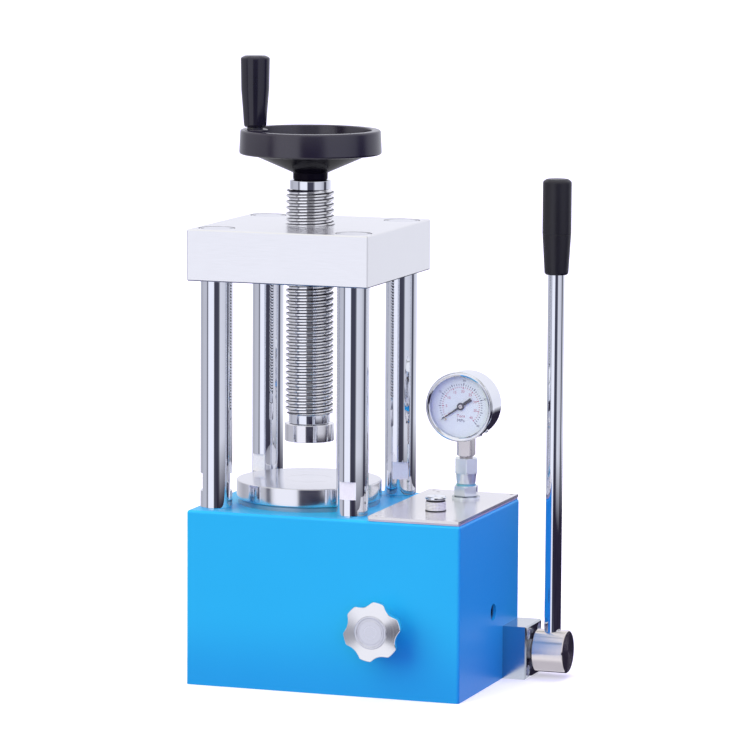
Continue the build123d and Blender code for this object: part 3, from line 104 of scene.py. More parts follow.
CAMERA_AZIMUTH = math.radians(19.17)
CAMERA_ELEVATION = math.radians(7.39)
CAMERA_ROLL = math.radians(0.34)
CAMERA_DISTANCE = 4.116       # metres, as the target is
CAMERA_TARGET = Vector((0.0609, 0.0, 0.2696))
CAMERA_LENS = 225.7
SENSOR_WIDTH = 36


def add_camera():
    """Long-lens camera that looks at the target from the given azimuth and elevation."""
    back = Vector((
        math.sin(CAMERA_AZIMUTH) * math.cos(CAMERA_ELEVATION),
        -math.cos(CAMERA_AZIMUTH) * math.cos(CAMERA_ELEVATION),
        math.sin(CAMERA_ELEVATION),
    ))
    level_right = Vector((math.cos(CAMERA_AZIMUTH), math.sin(CAMERA_AZIMUTH), 0))
    level_up = back.cross(level_right)
    right = level_right * math.cos(CAMERA_ROLL) + level_up * math.sin(CAMERA_ROLL)
    up = level_up * math.cos(CAMERA_ROLL) - level_right * math.sin(CAMERA_ROLL)
    data = bpy.data.cameras.new("camera")
    data.lens = CAMERA_LENS
    data.sensor_width = SENSOR_WIDTH
    data.clip_end = 50
    camera = add_object("camera", data)
    camera.matrix_world = Matrix.Translation(CAMERA_TARGET + back * CAMERA_DISTANCE) @ Matrix(
        (right, up, back)
    ).transposed().to_4x4()
    bpy.context.scene.camera = camera


add_camera()


# ---------- node helpers

def is_socket(value):
    return isinstance(value, bpy.types.NodeSocket)


def new_node(kind, *values):
    """New node in the tree that the sockets among the values belong to."""
    tree = next(value.id_data for value in values if is_socket(value))
    return tree.nodes.new("ShaderNode" + kind)


def link(source, target):
    target.id_data.links.new(source, target)


def feed(shader, name, source):
    """Feeds a shader's socket from a node."""
    link(source, shader.inputs[name])


def value_of(socket, value):
    """Feeds a socket from another socket, or sets it."""
    if is_socket(value):
        link(value, socket)
    else:
        socket.default_value = value


def math_node(operation, first, second=0.0):
    """Result of a Math node on two sockets or numbers."""
    node = new_node("Math", first, second)
    node.operation = operation
    value_of(node.inputs[0], first)
    value_of(node.inputs[1], second)
    return node.outputs[0]


def times(first, second):
    return math_node("MULTIPLY", first, second)


def vector_node(operation, first, second=(0, 0, 0)):
    """Result of a Vector Math node on two sockets or vectors."""
    node = new_node("VectorMath", first, second)
    node.operation = operation
    value_of(node.inputs[0], first)
    value_of(node.inputs[1], second)
    return node.outputs["Value" if operation in ("LENGTH", "DOT_PRODUCT") else "Vector"]


def object_place(tree):
    """Place on the piece, in metres in the CAD frame."""
    return tree.nodes.new("ShaderNodeTexCoord").outputs["Object"]


def split(place):
    """X, Y and Z of a place, by name."""
    node = new_node("SeparateXYZ", place)
    link(place, node.inputs[0])
    return node.outputs


def between(value, low, high):
    """1 where a value in metres lies between two limits in millimetres, otherwise 0."""
    above = math_node("GREATER_THAN", value, low * MM)
    return times(above, math_node("LESS_THAN", value, high * MM))


def noise(place, scale, detail=2.0, roughness=0.5, lines=False):
    """Noise over a place or, for lines such as lathe marks, along one value."""
    node = new_node("TexNoise", place)
    node.noise_dimensions = "1D" if lines else "3D"
    link(place, node.inputs["W" if lines else "Vector"])
    node.inputs["Scale"].default_value = scale
    node.inputs["Detail"].default_value = detail
    node.inputs["Roughness"].default_value = roughness
    return node.outputs["Fac"]


def scaled(colour, share):
    return [channel * share for channel in colour]


def opaque(colour):
    """Colour with an alpha of 1; a number stands for a grey."""
    return (colour,) * 3 + (1,) if isinstance(colour, (int, float)) else tuple(colour) + (1,)


def ramp(factor, stops, interpolation="LINEAR"):
    """Colour ramp: stops are (place, grey or colour)."""
    node = new_node("ValToRGB", factor)
    link(factor, node.inputs["Fac"])
    band = node.color_ramp
    band.interpolation = interpolation
    while len(band.elements) < len(stops):
        band.elements.new(0.5)
    for element, (place, colour) in zip(band.elements, stops):
        element.position = place
        element.color = opaque(colour)
    return node.outputs["Color"]


def spread(factor, low, high):
    """Maps a 0..1 factor onto low..high."""
    node = new_node("MapRange", factor)
    link(factor, node.inputs["Value"])
    node.inputs["To Min"].default_value = low
    node.inputs["To Max"].default_value = high
    return node.outputs["Result"]


def mix_colour(factor, first, second, how="MIX"):
    """Mixes two colours; inputs 6 and 7 and output 2 are the node's colour sockets."""
    node = new_node("Mix", factor, first, second)
    node.data_type = "RGBA"
    node.blend_type = how
    value_of(node.inputs["Factor"], factor)
    for socket, colour in ((6, first), (7, second)):
        value_of(node.inputs[socket], colour if is_socket(colour) else opaque(colour))
    return node.outputs[2]


def bump(height, strength, depth, under=None):
    """Relief of a depth in millimetres, over the relief underneath if there is one."""
    node = new_node("Bump", height)
    node.inputs["Strength"].default_value = strength
    node.inputs["Distance"].default_value = depth * MM
    link(height, node.inputs["Height"])
    if under is not None:
        link(under, node.inputs["Normal"])
    return node.outputs["Normal"]


def new_material(name, settings):
    """Principled material, its shader and a place on it; settings are the shader's own sockets."""
    material = bpy.data.materials.new(name)
    material.use_nodes = True
    tree = material.node_tree
    shader = tree.nodes["Principled BSDF"]
    for socket, value in settings.items():
        shader.inputs[socket].default_value = value
    return material, shader, object_place(tree)


# ---------- materials

def tint_between(material, low, high, colour, share, specular=None):
    """Paints shade into a finished material between two heights, and can change its gloss there."""
    shader = material.node_tree.nodes["Principled BSDF"]
    inside = between(split(object_place(material.node_tree))["Z"], low, high)
    plain = shader.inputs["Base Color"].links[0].from_socket
    feed(shader, "Base Color", mix_colour(times(inside, share), plain, colour))
    if specular is not None:
        gloss = shader.inputs["Specular IOR Level"]
        link(spread(inside, gloss.default_value, specular), gloss)


PAINTED_SHADE_HEIGHT = 70          # painted shade deepens the paint below this height
PAINTED_SHADE_TONE = (0.70, 0.76, 0.90)


def paint(name, deep, light, roughness):
    """Sprayed paint: faint colour drift, orange peel, and painted shade that deepens the tone towards the
    floor.
    """
    material, shader, place = new_material(name, {"Specular IOR Level": 0.24})
    drift = noise(place, 7, 3)
    speck = noise(place, 420, 2)
    # Painted shade: the colour is multiplied darker towards the floor.
    rise = math_node("DIVIDE", split(place)["Z"], PAINTED_SHADE_HEIGHT * MM)
    floor_shade = ramp(rise, [(0.0, PAINTED_SHADE_TONE), (1.0, 1.0)], "EASE")
    colour = mix_colour(1.0, mix_colour(drift, deep, light), floor_shade, "MULTIPLY")
    feed(shader, "Base Color", colour)
    feed(shader, "Roughness", spread(speck, roughness - 0.05, roughness + 0.06))
    peel = bump(noise(place, 260, 2), 0.10, 0.25)
    feed(shader, "Normal", bump(noise(place, 1500, 2), 0.12, 0.03, peel))
    return material


def grind_marks(place):
    """Fine marks of centreless grinding: rings along a bar, as a height."""
    return noise(vector_node("MULTIPLY", place, (120, 120, 2600)), 1, 3)


def chrome(name, colour, roughness=0.035):
    """Hard chrome over a ground bar: mirror with faint polishing haze."""
    material, shader, place = new_material(name, {"Metallic": 1.0})
    haze = noise(place, 55, 4)
    feed(shader, "Base Color", mix_colour(haze, scaled(colour, 0.94), colour))
    feed(shader, "Roughness", spread(haze, roughness * 0.6, roughness * 1.5))
    feed(shader, "Normal", bump(grind_marks(place), 0.04, 0.004))
    return material


FLATS_LOW = BASE_TOP + 16.1       # the columns' spanner flats lie between these heights
FLATS_HIGH = BASE_TOP + 31.6
FLATS_R = 13.75                   # and inside this radius
SPIGOT_LOW = PLATE_FOOT + 0.9     # the columns' turned-down ends start here


def column_chrome(name, colour):
    """Chromed column with matte milled spanner flats and matte spigot ends."""
    material, shader, place = new_material(name, {"Metallic": 1.0})
    axis = (COLUMN_X * MM, COLUMN_Y * MM, 0)
    centred = vector_node("SUBTRACT", vector_node("ABSOLUTE", place), axis)
    radius = vector_node("LENGTH", vector_node("MULTIPLY", centred, (1, 1, 0)))
    height = split(place)["Z"]
    inner = math_node("LESS_THAN", radius, FLATS_R * MM)
    milled = times(between(height, FLATS_LOW, FLATS_HIGH), inner)
    spigot = math_node("GREATER_THAN", height, SPIGOT_LOW * MM)
    matte = math_node("MAXIMUM", milled, spigot)
    haze = noise(place, 55, 4)
    cutter = noise(vector_node("MULTIPLY", place, (900, 900, 2600)), 1, 3)
    polished = mix_colour(haze, scaled(colour, 0.94), colour)
    cut = ramp(cutter, [(0.3, 0.80), (0.6, 1.0)])
    feed(shader, "Base Color", mix_colour(matte, polished, cut))
    rougher = times(matte, 0.45)
    feed(shader, "Roughness", math_node("ADD", spread(haze, 0.02, 0.05), rougher))
    duller = times(matte, 0.6)
    feed(shader, "Metallic", math_node("SUBTRACT", 1.0, duller))
    grain = bump(times(cutter, matte), 0.5, 0.05)
    feed(shader, "Normal", bump(grind_marks(place), 0.04, 0.004, grain))
    return material


FLANK_R = 19.9        # radius of the middle of the thread's flanks
SHADE_HALF = 0.7        # the painted shade lies within this distance of it
SHADE_EDGE = 0.4        # and thins out over this distance


def oiled_thread(name, colour):
    """Chromed thread whose flanks are darkened with painted shade."""
    material, shader, place = new_material(name, {"Metallic": 1.0})
    radius = vector_node("LENGTH", vector_node("MULTIPLY", place, (1, 1, 0)))
    off_flank = math_node("ABSOLUTE", math_node("SUBTRACT", radius, FLANK_R * MM))
    clear = math_node("DIVIDE", math_node("SUBTRACT", off_flank, SHADE_HALF * MM), SHADE_EDGE * MM)
    # Painted shade: the flanks are darkened, blotched by noise.
    flank_shade = math_node("ADD", clear, math_node("SUBTRACT", noise(place, 600, 3), 0.5))
    feed(shader, "Base Color", ramp(flank_shade, [(0.0, (0.045, 0.045, 0.075)), (1.0, colour)]))
    feed(shader, "Roughness", spread(flank_shade, 0.30, 0.05))
    return material


KNURLS = 22           # grooves each way round the filler neck
KNURL_RISE = 9.0      # height that a groove climbs in a turn of one radian


def knurl(name, colour, centre):
    """Fine diamond knurl about an upright axis, with painted shade in its grooves."""
    material, shader, place = new_material(name, {"Metallic": 0.55, "Roughness": 0.22})
    place = split(vector_node("SUBTRACT", place, scaled(centre, MM)))
    around = times(math_node("ARCTAN2", place["Y"], place["X"]), KNURLS)
    up = times(place["Z"], KNURLS / (KNURL_RISE * MM))
    left = math_node("SINE", math_node("ADD", around, up))
    right = math_node("SINE", math_node("SUBTRACT", around, up))
    peak = times(left, right)
    share = math_node("ADD", times(peak, 0.5), 0.5)
    # Painted shade darkens the grooves.
    feed(shader, "Base Color", ramp(share, [(0.36, scaled(colour, 0.50)), (0.50, colour)]))
    feed(shader, "Normal", bump(peak, 0.6, 0.15))
    return material


def turned(name, colour, centre, axis, roughness=0.24, marks=0.5, anisotropy=0.5):
    """Lathe-turned metal: fine rings about the axis, in colour, gloss and relief."""
    settings = {"Metallic": 1.0, "Anisotropic": anisotropy, "Anisotropic Rotation": 0.25}
    material, shader, place = new_material(name, settings)
    place = vector_node("SUBTRACT", place, scaled(centre, MM))
    across = vector_node("MULTIPLY", place, [1 - a for a in axis])
    radius = vector_node("LENGTH", across)
    along = math_node("ADD", radius, vector_node("DOT_PRODUCT", place, axis))
    fine = noise(along, 5200, 2, lines=True)
    broad = noise(along, 620, 4, lines=True)
    cloud = noise(place, 40, 3)
    shade = mix_colour(fine, scaled(colour, 0.86), colour)
    feed(shader, "Base Color", mix_colour(spread(cloud, 0, 0.35), shade, scaled(colour, 0.82)))
    feed(shader, "Roughness", spread(broad, roughness * 0.75, roughness * 1.3))
    rings = bump(fine, marks * 0.35, 0.012)
    feed(shader, "Normal", bump(broad, marks * 0.25, 0.03, rings))
    tangent = new_node("Tangent", place)
    tangent.direction_type = "RADIAL"
    tangent.axis = "XYZ"[list(axis).index(1)]
    feed(shader, "Tangent", tangent.outputs["Tangent"])
    return material


def brushed(name, colour, grain, roughness=0.28, marks=0.4, metallic=1.0):
    """Metal brushed or ground one way: grain is long along the axis with the small number."""
    material, shader, place = new_material(name, {"Metallic": metallic})
    stretched = vector_node("MULTIPLY", place, grain)
    streak = noise(stretched, 1, 4, 0.6)
    cloud = noise(place, 28, 3)
    shade = mix_colour(streak, scaled(colour, 0.88), colour)
    feed(shader, "Base Color", mix_colour(spread(cloud, 0, 0.3), shade, scaled(colour, 0.86)))
    feed(shader, "Roughness", spread(streak, roughness * 0.8, roughness * 1.25))
    feed(shader, "Normal", bump(streak, marks, 0.01))
    return material


DUST = (0.25, 0.25, 0.27)


def plastic(name, colour, roughness, grain=0.15, specular=0.5):
    """Moulded plastic, rubber or fibre: fine grain, small gloss changes, faint dust."""
    material, shader, place = new_material(name, {"Specular IOR Level": specular})
    fine = noise(place, 1400, 3)
    cloud = noise(place, 35, 4)
    dust = ramp(noise(place, 900, 1), [(0.0, 0.0), (0.74, 0.0), (0.80, 1.0)])
    base = mix_colour(cloud, scaled(colour, 0.8), scaled(colour, 1.25))
    feed(shader, "Base Color", mix_colour(spread(dust, 0, 0.12), base, DUST))
    feed(shader, "Roughness", spread(cloud, roughness - 0.04, roughness + 0.05))
    feed(shader, "Normal", bump(fine, grain, 0.02))
    return material


def enamel(name, colour, roughness=0.35):
    """Printed or enamelled sheet with a barely uneven skin."""
    material, shader, place = new_material(name, {})
    cloud = noise(place, 60, 3)
    feed(shader, "Base Color", mix_colour(cloud, scaled(colour, 0.96), colour))
    feed(shader, "Roughness", spread(cloud, roughness - 0.03, roughness + 0.05))
    feed(shader, "Normal", bump(noise(place, 1800, 2), 0.05, 0.01))
    return material


def clear_glass(name):
    """Thin gauge window: mostly see-through, with gloss and a trace of wiping marks."""
    material, shader, place = new_material(name, {"Base Color": (0.9, 0.95, 1, 1), "Alpha": 0.06})
    smear = noise(place, 45, 4)
    feed(shader, "Roughness", spread(smear, 0.02, 0.07))
    return material


# ---------- mesh helpers

def joined(*shells):
    """Puts several (points, faces) shells into one."""
    points = []
    faces = []
    for shell_points, shell_faces in shells:
        start = len(points)
        points.extend(shell_points)
        faces.extend(tuple(i + start for i in face) for face in shell_faces)
    return points, faces


def new_piece(name, shell, material, body, stands_for=(), sharp=32):
    """Mesh piece in the CAD frame, smooth up to a sharp angle, that rides on a body.

    With no body, it is left unattached.
    """
    points, faces = shell
    mesh = bpy.data.meshes.new(name)
    mesh.from_pydata([tuple(c * MM for c in p) for p in points], [], faces)
    tidy = bmesh.new()
    tidy.from_mesh(mesh)
    bmesh.ops.remove_doubles(tidy, verts=tidy.verts, dist=MERGE)
    bmesh.ops.recalc_face_normals(tidy, faces=tidy.faces)
    tidy.to_mesh(mesh)
    tidy.free()
    for polygon in mesh.polygons:
        polygon.use_smooth = True
    mesh.set_sharp_from_angle(angle=math.radians(sharp))
    mesh.materials.append(material)
    piece = add_object(name, mesh)
    if body:
        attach(piece, body)
    if stands_for:
        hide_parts(*stands_for)
    return piece


def eased(profile):
    """Rounds the corners of an open profile; a corner is (radius, height, fillet)."""
    points = []
    for i, (r, h, fillet) in enumerate(profile):
        here = Vector((r, h))
        if not fillet or i in (0, len(profile) - 1):
            points.append((r, h))
            continue
        before = Vector(profile[i - 1][:2]) - here
        after = Vector(profile[i + 1][:2]) - here
        reach = min(fillet / math.tan(before.angle(after) / 2), before.length * 0.49, after.length * 0.49)
        start = here + before.normalized() * reach
        end = here + after.normalized() * reach
        for step in range(FILLET_STEPS + 1):
            t = step / FILLET_STEPS
            points.append(tuple(start * (1 - t) ** 2 + here * 2 * t * (1 - t) + end * t ** 2))
    return points


def on_axis(centre, axis, radius, height, angle):
    """Point at a radius, height and angle about an axis; the angle runs from +X, or from +Y about X."""
    across = radius * math.cos(angle)
    up = radius * math.sin(angle)
    if axis == "Z":
        return (centre[0] + across, centre[1] + up, centre[2] + height)
    if axis == "Y":
        return (centre[0] + across, centre[1] + height, centre[2] + up)
    return (centre[0] + height, centre[1] + across, centre[2] + up)


def closed_skin(points, segments):
    """Shell over points that stand in equal columns, one for each segment, all the way round."""
    count = len(points) // segments
    faces = []
    for j in range(segments):
        here = j * count
        there = (j + 1) % segments * count
        faces += [(here + i, there + i, there + i + 1, here + i + 1) for i in range(count - 1)]
    return points, faces


def lathe(profile, centre=(0, 0, 0), axis="Z", shape=None, segments=RING):
    """Shell turned from an open profile of (radius, height, fillet).

    shape(radius, height, angle) gives the radius where the piece is not round.
    """
    outline = eased(profile)
    points = []
    for j in range(segments):
        angle = 2 * math.pi * j / segments
        for r, h in outline:
            radius = shape(r, h, angle) if shape and r > 1e-6 else r
            points.append(on_axis(centre, axis, radius, h, angle))
    return closed_skin(points, segments)


# ---------- finishes

BLUE = paint("blue_paint", (0.016, 0.44, 0.73), (0.022, 0.48, 0.78), 0.36)
CHROME = chrome("chrome", (0.90, 0.92, 0.98))
PLATE_STEEL = brushed("satin_plate", (0.97, 0.97, 0.98), (60, 900, 900), 0.20, 0.05)
CAP_STEEL = brushed("satin_cap", (0.90, 0.91, 0.94), (500, 500, 500), 0.24, 0.12)
COLUMN = column_chrome("column_chrome", (0.90, 0.92, 0.98))
SCREW_CHROME = oiled_thread("oiled_thread", (0.98, 0.98, 1.0))
KNURL = knurl("knurled_chrome", (1.0, 1.0, 1.0), (FILLER_X, FILLER_Y, 0))
SHEET_STEEL = brushed("stainless_sheet", (0.86, 0.85, 0.82), (1400, 40, 1400), 0.21, 0.04, 0.8)
GROUND = brushed("ground_steel", (0.62, 0.62, 0.65), (700, 700, 50), 0.30, 0.3)
BLOCK_STEEL = brushed("block_steel", (0.60, 0.64, 0.70), (700, 60, 700), 0.14, 0.10)
ZINC = brushed("zinc_steel", (0.92, 1.0, 0.96), (1600, 1600, 1600), 0.11, 0.005, 0.55)
NICKEL = brushed("nickel_brass", (0.72, 0.68, 0.68), (1500, 1500, 1500), 0.15, 0.04, 0.9)
BRASS = brushed("brass", (0.72, 0.56, 0.30), (400, 400, 400), 0.28, 0.25)
BRONZE = turned("oiled_bronze", (0.13, 0.10, 0.07), (0, 0, 0), (0, 0, 1), 0.3, 0.4)
FIBRE = plastic("fibre_gasket", (0.55, 0.52, 0.54), 0.6, 0.3)
PLUG_STEEL = brushed("plug_steel", (0.26, 0.23, 0.22), (900, 900, 900), 0.35, 0.3)
OXIDE = plastic("black_oxide", (0.035, 0.036, 0.042), 0.35, 0.25)
PHENOLIC = plastic("black_phenolic", (0.013, 0.010, 0.020), 0.20, 0.12, 0.9)
GLOSS = plastic("black_gloss", (0.013, 0.012, 0.019), 0.14, 0.04)
GRIP = plastic("black_grip", (0.007, 0.0065, 0.010), 0.40, 0.30)
RUBBER = plastic("black_rubber", (0.02, 0.02, 0.022), 0.6, 0.4)
TEAL = plastic("teal_rubber", (0.16, 0.46, 0.50), 0.45, 0.2)
GLASS = clear_glass("clear_glass")
DIAL = enamel("dial_white", (0.88, 0.99, 0.93))
POINTER = plastic("pointer_black", (0.012, 0.012, 0.016), 0.4, 0.1)
PRINT_BLACK = enamel("print_black", (0.02, 0.022, 0.07))
PRINT_RED = enamel("print_red", (0.45, 0.01, 0.06))
RAM_STEEL = turned("turned_ram", (0.97, 0.97, 1.0), (0, 0, 0), (0, 0, 1), 0.14, 0.45, 0.4)
HEAD_STEEL = turned("turned_head", (0.98, 0.97, 1.0), (0, 0, 0), (0, 0, 1), 0.10, 0.3, 0.3)
KNOB_CENTRE = turned("knob_centre", (0.80, 0.81, 0.87), (KNOB_X, 0, KNOB_Z), (0, 1, 0), 0.30, 1.0, 0.0)
HUB_STEEL = turned("turned_socket", (0.92, 0.86, 0.85), (0, SOCKET_Y, SOCKET_Z), (1, 0, 0), 0.18, 0.35, 0.95)
KNOB_METAL = turned("satin_aluminium", (0.98, 0.98, 1.0), (KNOB_X, 0, KNOB_Z), (0, 1, 0), 0.13, 0.35, 0.3)

CAP_CHAMFER = 0.8

# Painted shade in darker bands: the plate's foot, the caps' chamfer, the adapter's foot by the washer,
# the ram plate's top face and the wheel's underside, which also has little gloss.
tint_between(PLATE_STEEL, PLATE_FOOT + 0.1, PLATE_FOOT + 1.0, (0.03, 0.04, 0.16), 0.85)
tint_between(CAP_STEEL, CAP_TOP - CAP_CHAMFER, CAP_TOP - 0.1, (0.06, 0.06, 0.10), 0.8)
tint_between(ZINC, WASHER_TOP - 0.2, WASHER_TOP + 1.1, (0.12, 0.16, 0.19), 0.65)
tint_between(RAM_STEEL, RAM_TOP - 0.1, RAM_TOP + 0.1, (0.62, 0.62, 0.70), 0.45)
tint_between(PHENOLIC, WHEEL_FOOT[2] - 1, WHEEL_FOOT[2] + 22.3, (0.006, 0.005, 0.008), 0.9, 0.03)

FINISHES = {
    "base_block": BLUE,
    "top_plate": PLATE_STEEL,
    "cover_plate": SHEET_STEEL,
    "cover_gasket": FIBRE,
    "cover_screws": SHEET_STEEL,
    "column_nuts": CAP_STEEL,
    "screw_nut": BRONZE,
    "gauge_dial": DIAL,
    "gauge_window": GLASS,
    "gauge_seal_ring": TEAL,
    "gauge_washer": ZINC,
    "gauge_movement": BRASS,
    "sector_gear": BRASS,
    "bourdon_tube": BRASS,
    "gauge_tube": BRASS,
    "pump_bearing_block": BLOCK_STEEL,
    "bearing_block_screws": ZINC,
    "lever_rod": CHROME,
    "lever_socket": HUB_STEEL,
    "shaft_bushing": BRONZE,
    "valve_gland": ZINC,
    "side_plug": PLUG_STEEL,
    "handwheel_nut": ZINC,
    "filler_cap_ring": RUBBER,
    "piston_seal": RUBBER,
    "shaft_seal": RUBBER,
    "grip_pin": OXIDE,
}
for node_name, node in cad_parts.items():
    finish = FINISHES.get(node_name, COLUMN if node_name.startswith("column_") else GROUND)
    for material_slot in node.material_slots:
        material_slot.material = finish


# ---------- pressure screw

PITCH = 5.2
THREAD_LOW = 19.0         # heights above the foot of the screw
THREAD_HIGH = 217.9
ROOT_R = 18.6
CREST_R = 21.25
PLAIN_R = 18.0
CREST_HALF = 0.11         # half of the crest, as a share of the pitch
UPPER_FLANK = 0.22        # the flank that faces up, as a share of the pitch
LOWER_FLANK = 0.32        # the flank that faces down
RUN_OUT = 1.6             # length in which the thread fades out at its ends
PITCH_ROWS = 16
SCREW_SEGMENTS = 120


def thread_radius(height, share):
    """Radius at a share of the pitch: crest, sloping flanks and root, fading out at both ends."""
    run = LOWER_FLANK if share < 0.5 else UPPER_FLANK
    climb = min(max((CREST_HALF + run - abs(share - 0.5)) / run, 0.0), 1.0)
    crest = climb ** 2 * (3 - 2 * climb)
    ends = min(height - THREAD_LOW, THREAD_HIGH - height) / RUN_OUT
    fade = min(max(ends, 0.0), 1.0)
    return PLAIN_R + fade * (ROOT_R - PLAIN_R + (CREST_R - ROOT_R) * crest)


def helical_thread():
    """Right-hand thread skin whose rows climb one pitch in each turn."""
    rows = int((THREAD_HIGH - THREAD_LOW) / PITCH * PITCH_ROWS) + 2 * PITCH_ROWS
    points = []
    for j in range(SCREW_SEGMENTS):
        angle = 2 * math.pi * j / SCREW_SEGMENTS
        for row in range(rows):
            height = THREAD_LOW + (row / PITCH_ROWS + j / SCREW_SEGMENTS - 1) * PITCH
            height = min(max(height, THREAD_LOW), THREAD_HIGH)
            radius = thread_radius(height, row % PITCH_ROWS / PITCH_ROWS)
            points.append(on_axis(SCREW_FOOT, "Z", radius, height, angle))
    faces = []
    for j in range(SCREW_SEGMENTS - 1):
        for row in range(rows - 1):
            here = j * rows + row
            faces.append((here, here + rows, here + rows + 1, here + 1))
    last = (SCREW_SEGMENTS - 1) * rows
    for row in range(rows - 1 - PITCH_ROWS):
        faces.append((last + row, row + PITCH_ROWS, row + PITCH_ROWS + 1, last + row + 1))
    return points, faces


new_piece("pressure_screw_thread", helical_thread(),
          SCREW_CHROME, "lead_screw", ["lead_screw"], 60)
new_piece("pressure_screw_core", joined(
    lathe([
        (0, 0, 0), (10.0, 0, 0.6), (10.0, 3.4, 0), (8.4, 3.4, 0), (8.4, 7.8, 0),
        (10.0, 7.8, 0), (10.0, 11.4, 0), (PLAIN_R, 11.4, 0.4), (PLAIN_R, THREAD_LOW, 0),
    ], SCREW_FOOT, segments=SCREW_SEGMENTS),
    lathe([
        (PLAIN_R, THREAD_HIGH, 0), (PLAIN_R, 225.7, 0.9), (10.0, 225.7, 0), (10.0, 251.6, 0.5),
        (6.0, 251.6, 0), (6.0, 262.6, 0.8), (0, 262.6, 0),
    ], SCREW_FOOT, segments=SCREW_SEGMENTS),
), CHROME, "lead_screw")


# ---------- handwheel and grips

new_piece("handwheel_moulding", joined(
    lathe([
        (10.05, 0, 0), (15.25, 0, 1.8), (15.25, 6.3, 1.6), (52.4, 22.6, 0.5), (53.2, 23.9, 0.4),
        (56.4, 23.9, 0.4), (57.0, 22.5, 0.7), (62.5, 22.5, 2.4), (61.4, 43.9, 2.2), (53.8, 43.9, 1.6),
        (52.6, 30.9, 4.0), (19.0, 16.9, 3.0), (15.6, 18.5, 0.8), (15.25, 26.9, 0.7), (10.05, 26.9, 0),
    ], WHEEL_FOOT),
    lathe([
        (0, 24.9, 0), (11.2, 24.9, 0.5), (11.2, 44.0, 0.9), (4.1, 44.0, 0), (4.1, 30.9, 0),
    ], (GRIP_X, GRIP_Y, WHEEL_FOOT[2])),
), PHENOLIC, "lead_screw", ["handwheel"])

new_piece("handwheel_grip_moulding", lathe([
    (4.1, 0, 0), (9.2, 0, 0.5), (9.9, 1.8, 1.5), (10.9, 15.8, 9.0), (12.3, 32.8, 9.0),
    (12.8, 60.4, 2.3), (9.0, 62.2, 3.0), (0, 62.6, 0),
], foot("handwheel_grip")), GLOSS, "handwheel_grip", ["handwheel_grip"], 50)

new_piece("lever_grip_moulding", lathe([
    (7.35, 0, 0), (9.4, 0, 0.5), (10.5, 1.4, 0.8), (12.55, 35.1, 0.2), (12.35, 35.5, 0.1),
    (12.65, 35.9, 0.2), (12.65, 81.6, 3.0), (9.6, 83.7, 2.0), (0, 84.0, 0),
], foot("lever_grip")), GRIP, "lever", ["lever_grip"], 50)


# ---------- ram plate and head

new_piece("ram_plate_turning", lathe([
    (0, 0, 0), (15.0, 0, 0.5), (15.0, 9.0, 0), (64.0, 9.0, 0.7), (64.0, 25.0, 1.0),
    (21.0, 25.0, 0), (20.8, 24.85, 0), (20.6, 25.0, 0), (0, 25.0, 0),
], foot("ram_plate")), RAM_STEEL, "ram", ["ram_plate"], 25)

new_piece("pressure_head_turning", lathe([
    (0, 0, 0), (21.8, 0, 0.7), (21.8, 15.5, 0.9), (10.1, 15.5, 0), (10.1, 4.0, 0), (0, 4.0, 0),
], foot("pressure_head")), HEAD_STEEL, "pressure_head", ["pressure_head"], 25)


# ---------- column caps

CAP_R = 15.6
CAP_STEPS = 96
HOLE_R = 1.5
HOLE_STEPS = 24
HOLE_REACH = 12.6         # from the cap's middle
HOLE_TURN = 25            # degrees
HOLE_FLOOR = CAP_TOP - 3.8


def circle(x, y, radius, height, count):
    """Level loop of points about an upright axis."""
    steps = [2 * math.pi * i / count for i in range(count)]
    return [Vector((x + radius * math.cos(a), y + radius * math.sin(a), height)) for a in steps]


def wall(upper, floor_shade):
    """Band of faces between two loops with the same number of points."""
    count = len(upper)
    after = [(i + 1) % count for i in range(count)]
    return [tuple(p) for p in upper + floor_shade], [(i, j, j + count, i + count) for i, j in enumerate(after)]


def lid(loop):
    """One face across a loop."""
    return [tuple(p) for p in loop], [tuple(range(len(loop)))]


def column_cap(x, y):
    """Flush round nut with two blind spanner holes."""
    rim = circle(x, y, CAP_R - CAP_CHAMFER, CAP_TOP, CAP_STEPS)
    edge = circle(x, y, CAP_R, CAP_TOP - CAP_CHAMFER, CAP_STEPS)
    base = circle(x, y, CAP_R, CAP_FOOT, CAP_STEPS)
    shells = [wall(rim, edge), wall(edge, base), lid(base)]
    loops = [rim]
    for side in (0, 180):
        turn = math.radians(HOLE_TURN + side)
        hole = (x + HOLE_REACH * math.cos(turn), y + HOLE_REACH * math.sin(turn))
        mouth = circle(*hole, HOLE_R, CAP_TOP, HOLE_STEPS)
        bottom = circle(*hole, HOLE_R, HOLE_FLOOR, HOLE_STEPS)
        shells += [wall(mouth, bottom), lid(bottom)]
        loops.append(mouth)
    top_points = [tuple(p) for loop in loops for p in loop]
    shells.append((top_points, [tuple(face) for face in tessellate_polygon(loops)]))
    return joined(*shells)


caps = [column_cap(x, y) for x in (-COLUMN_X, COLUMN_X) for y in (-COLUMN_Y, COLUMN_Y)]
new_piece("column_nut_caps", joined(*caps), CAP_STEEL, "frame", ["column_nuts"])


# ---------- plunger spring

SPRING_X, _, SPRING_Z = middle("plunger_spring")
SPRING_R = 7.0
SPRING_WIRE = 0.7         # radius of the wire
SPRING_FRONT = extent("plunger_spring")[0][1] + SPRING_WIRE
SPRING_BACK = extent("plunger_spring")[1][1] - SPRING_WIRE
SPRING_TURNS = 5
TURN_STEPS = 40
WIRE_STEPS = 12


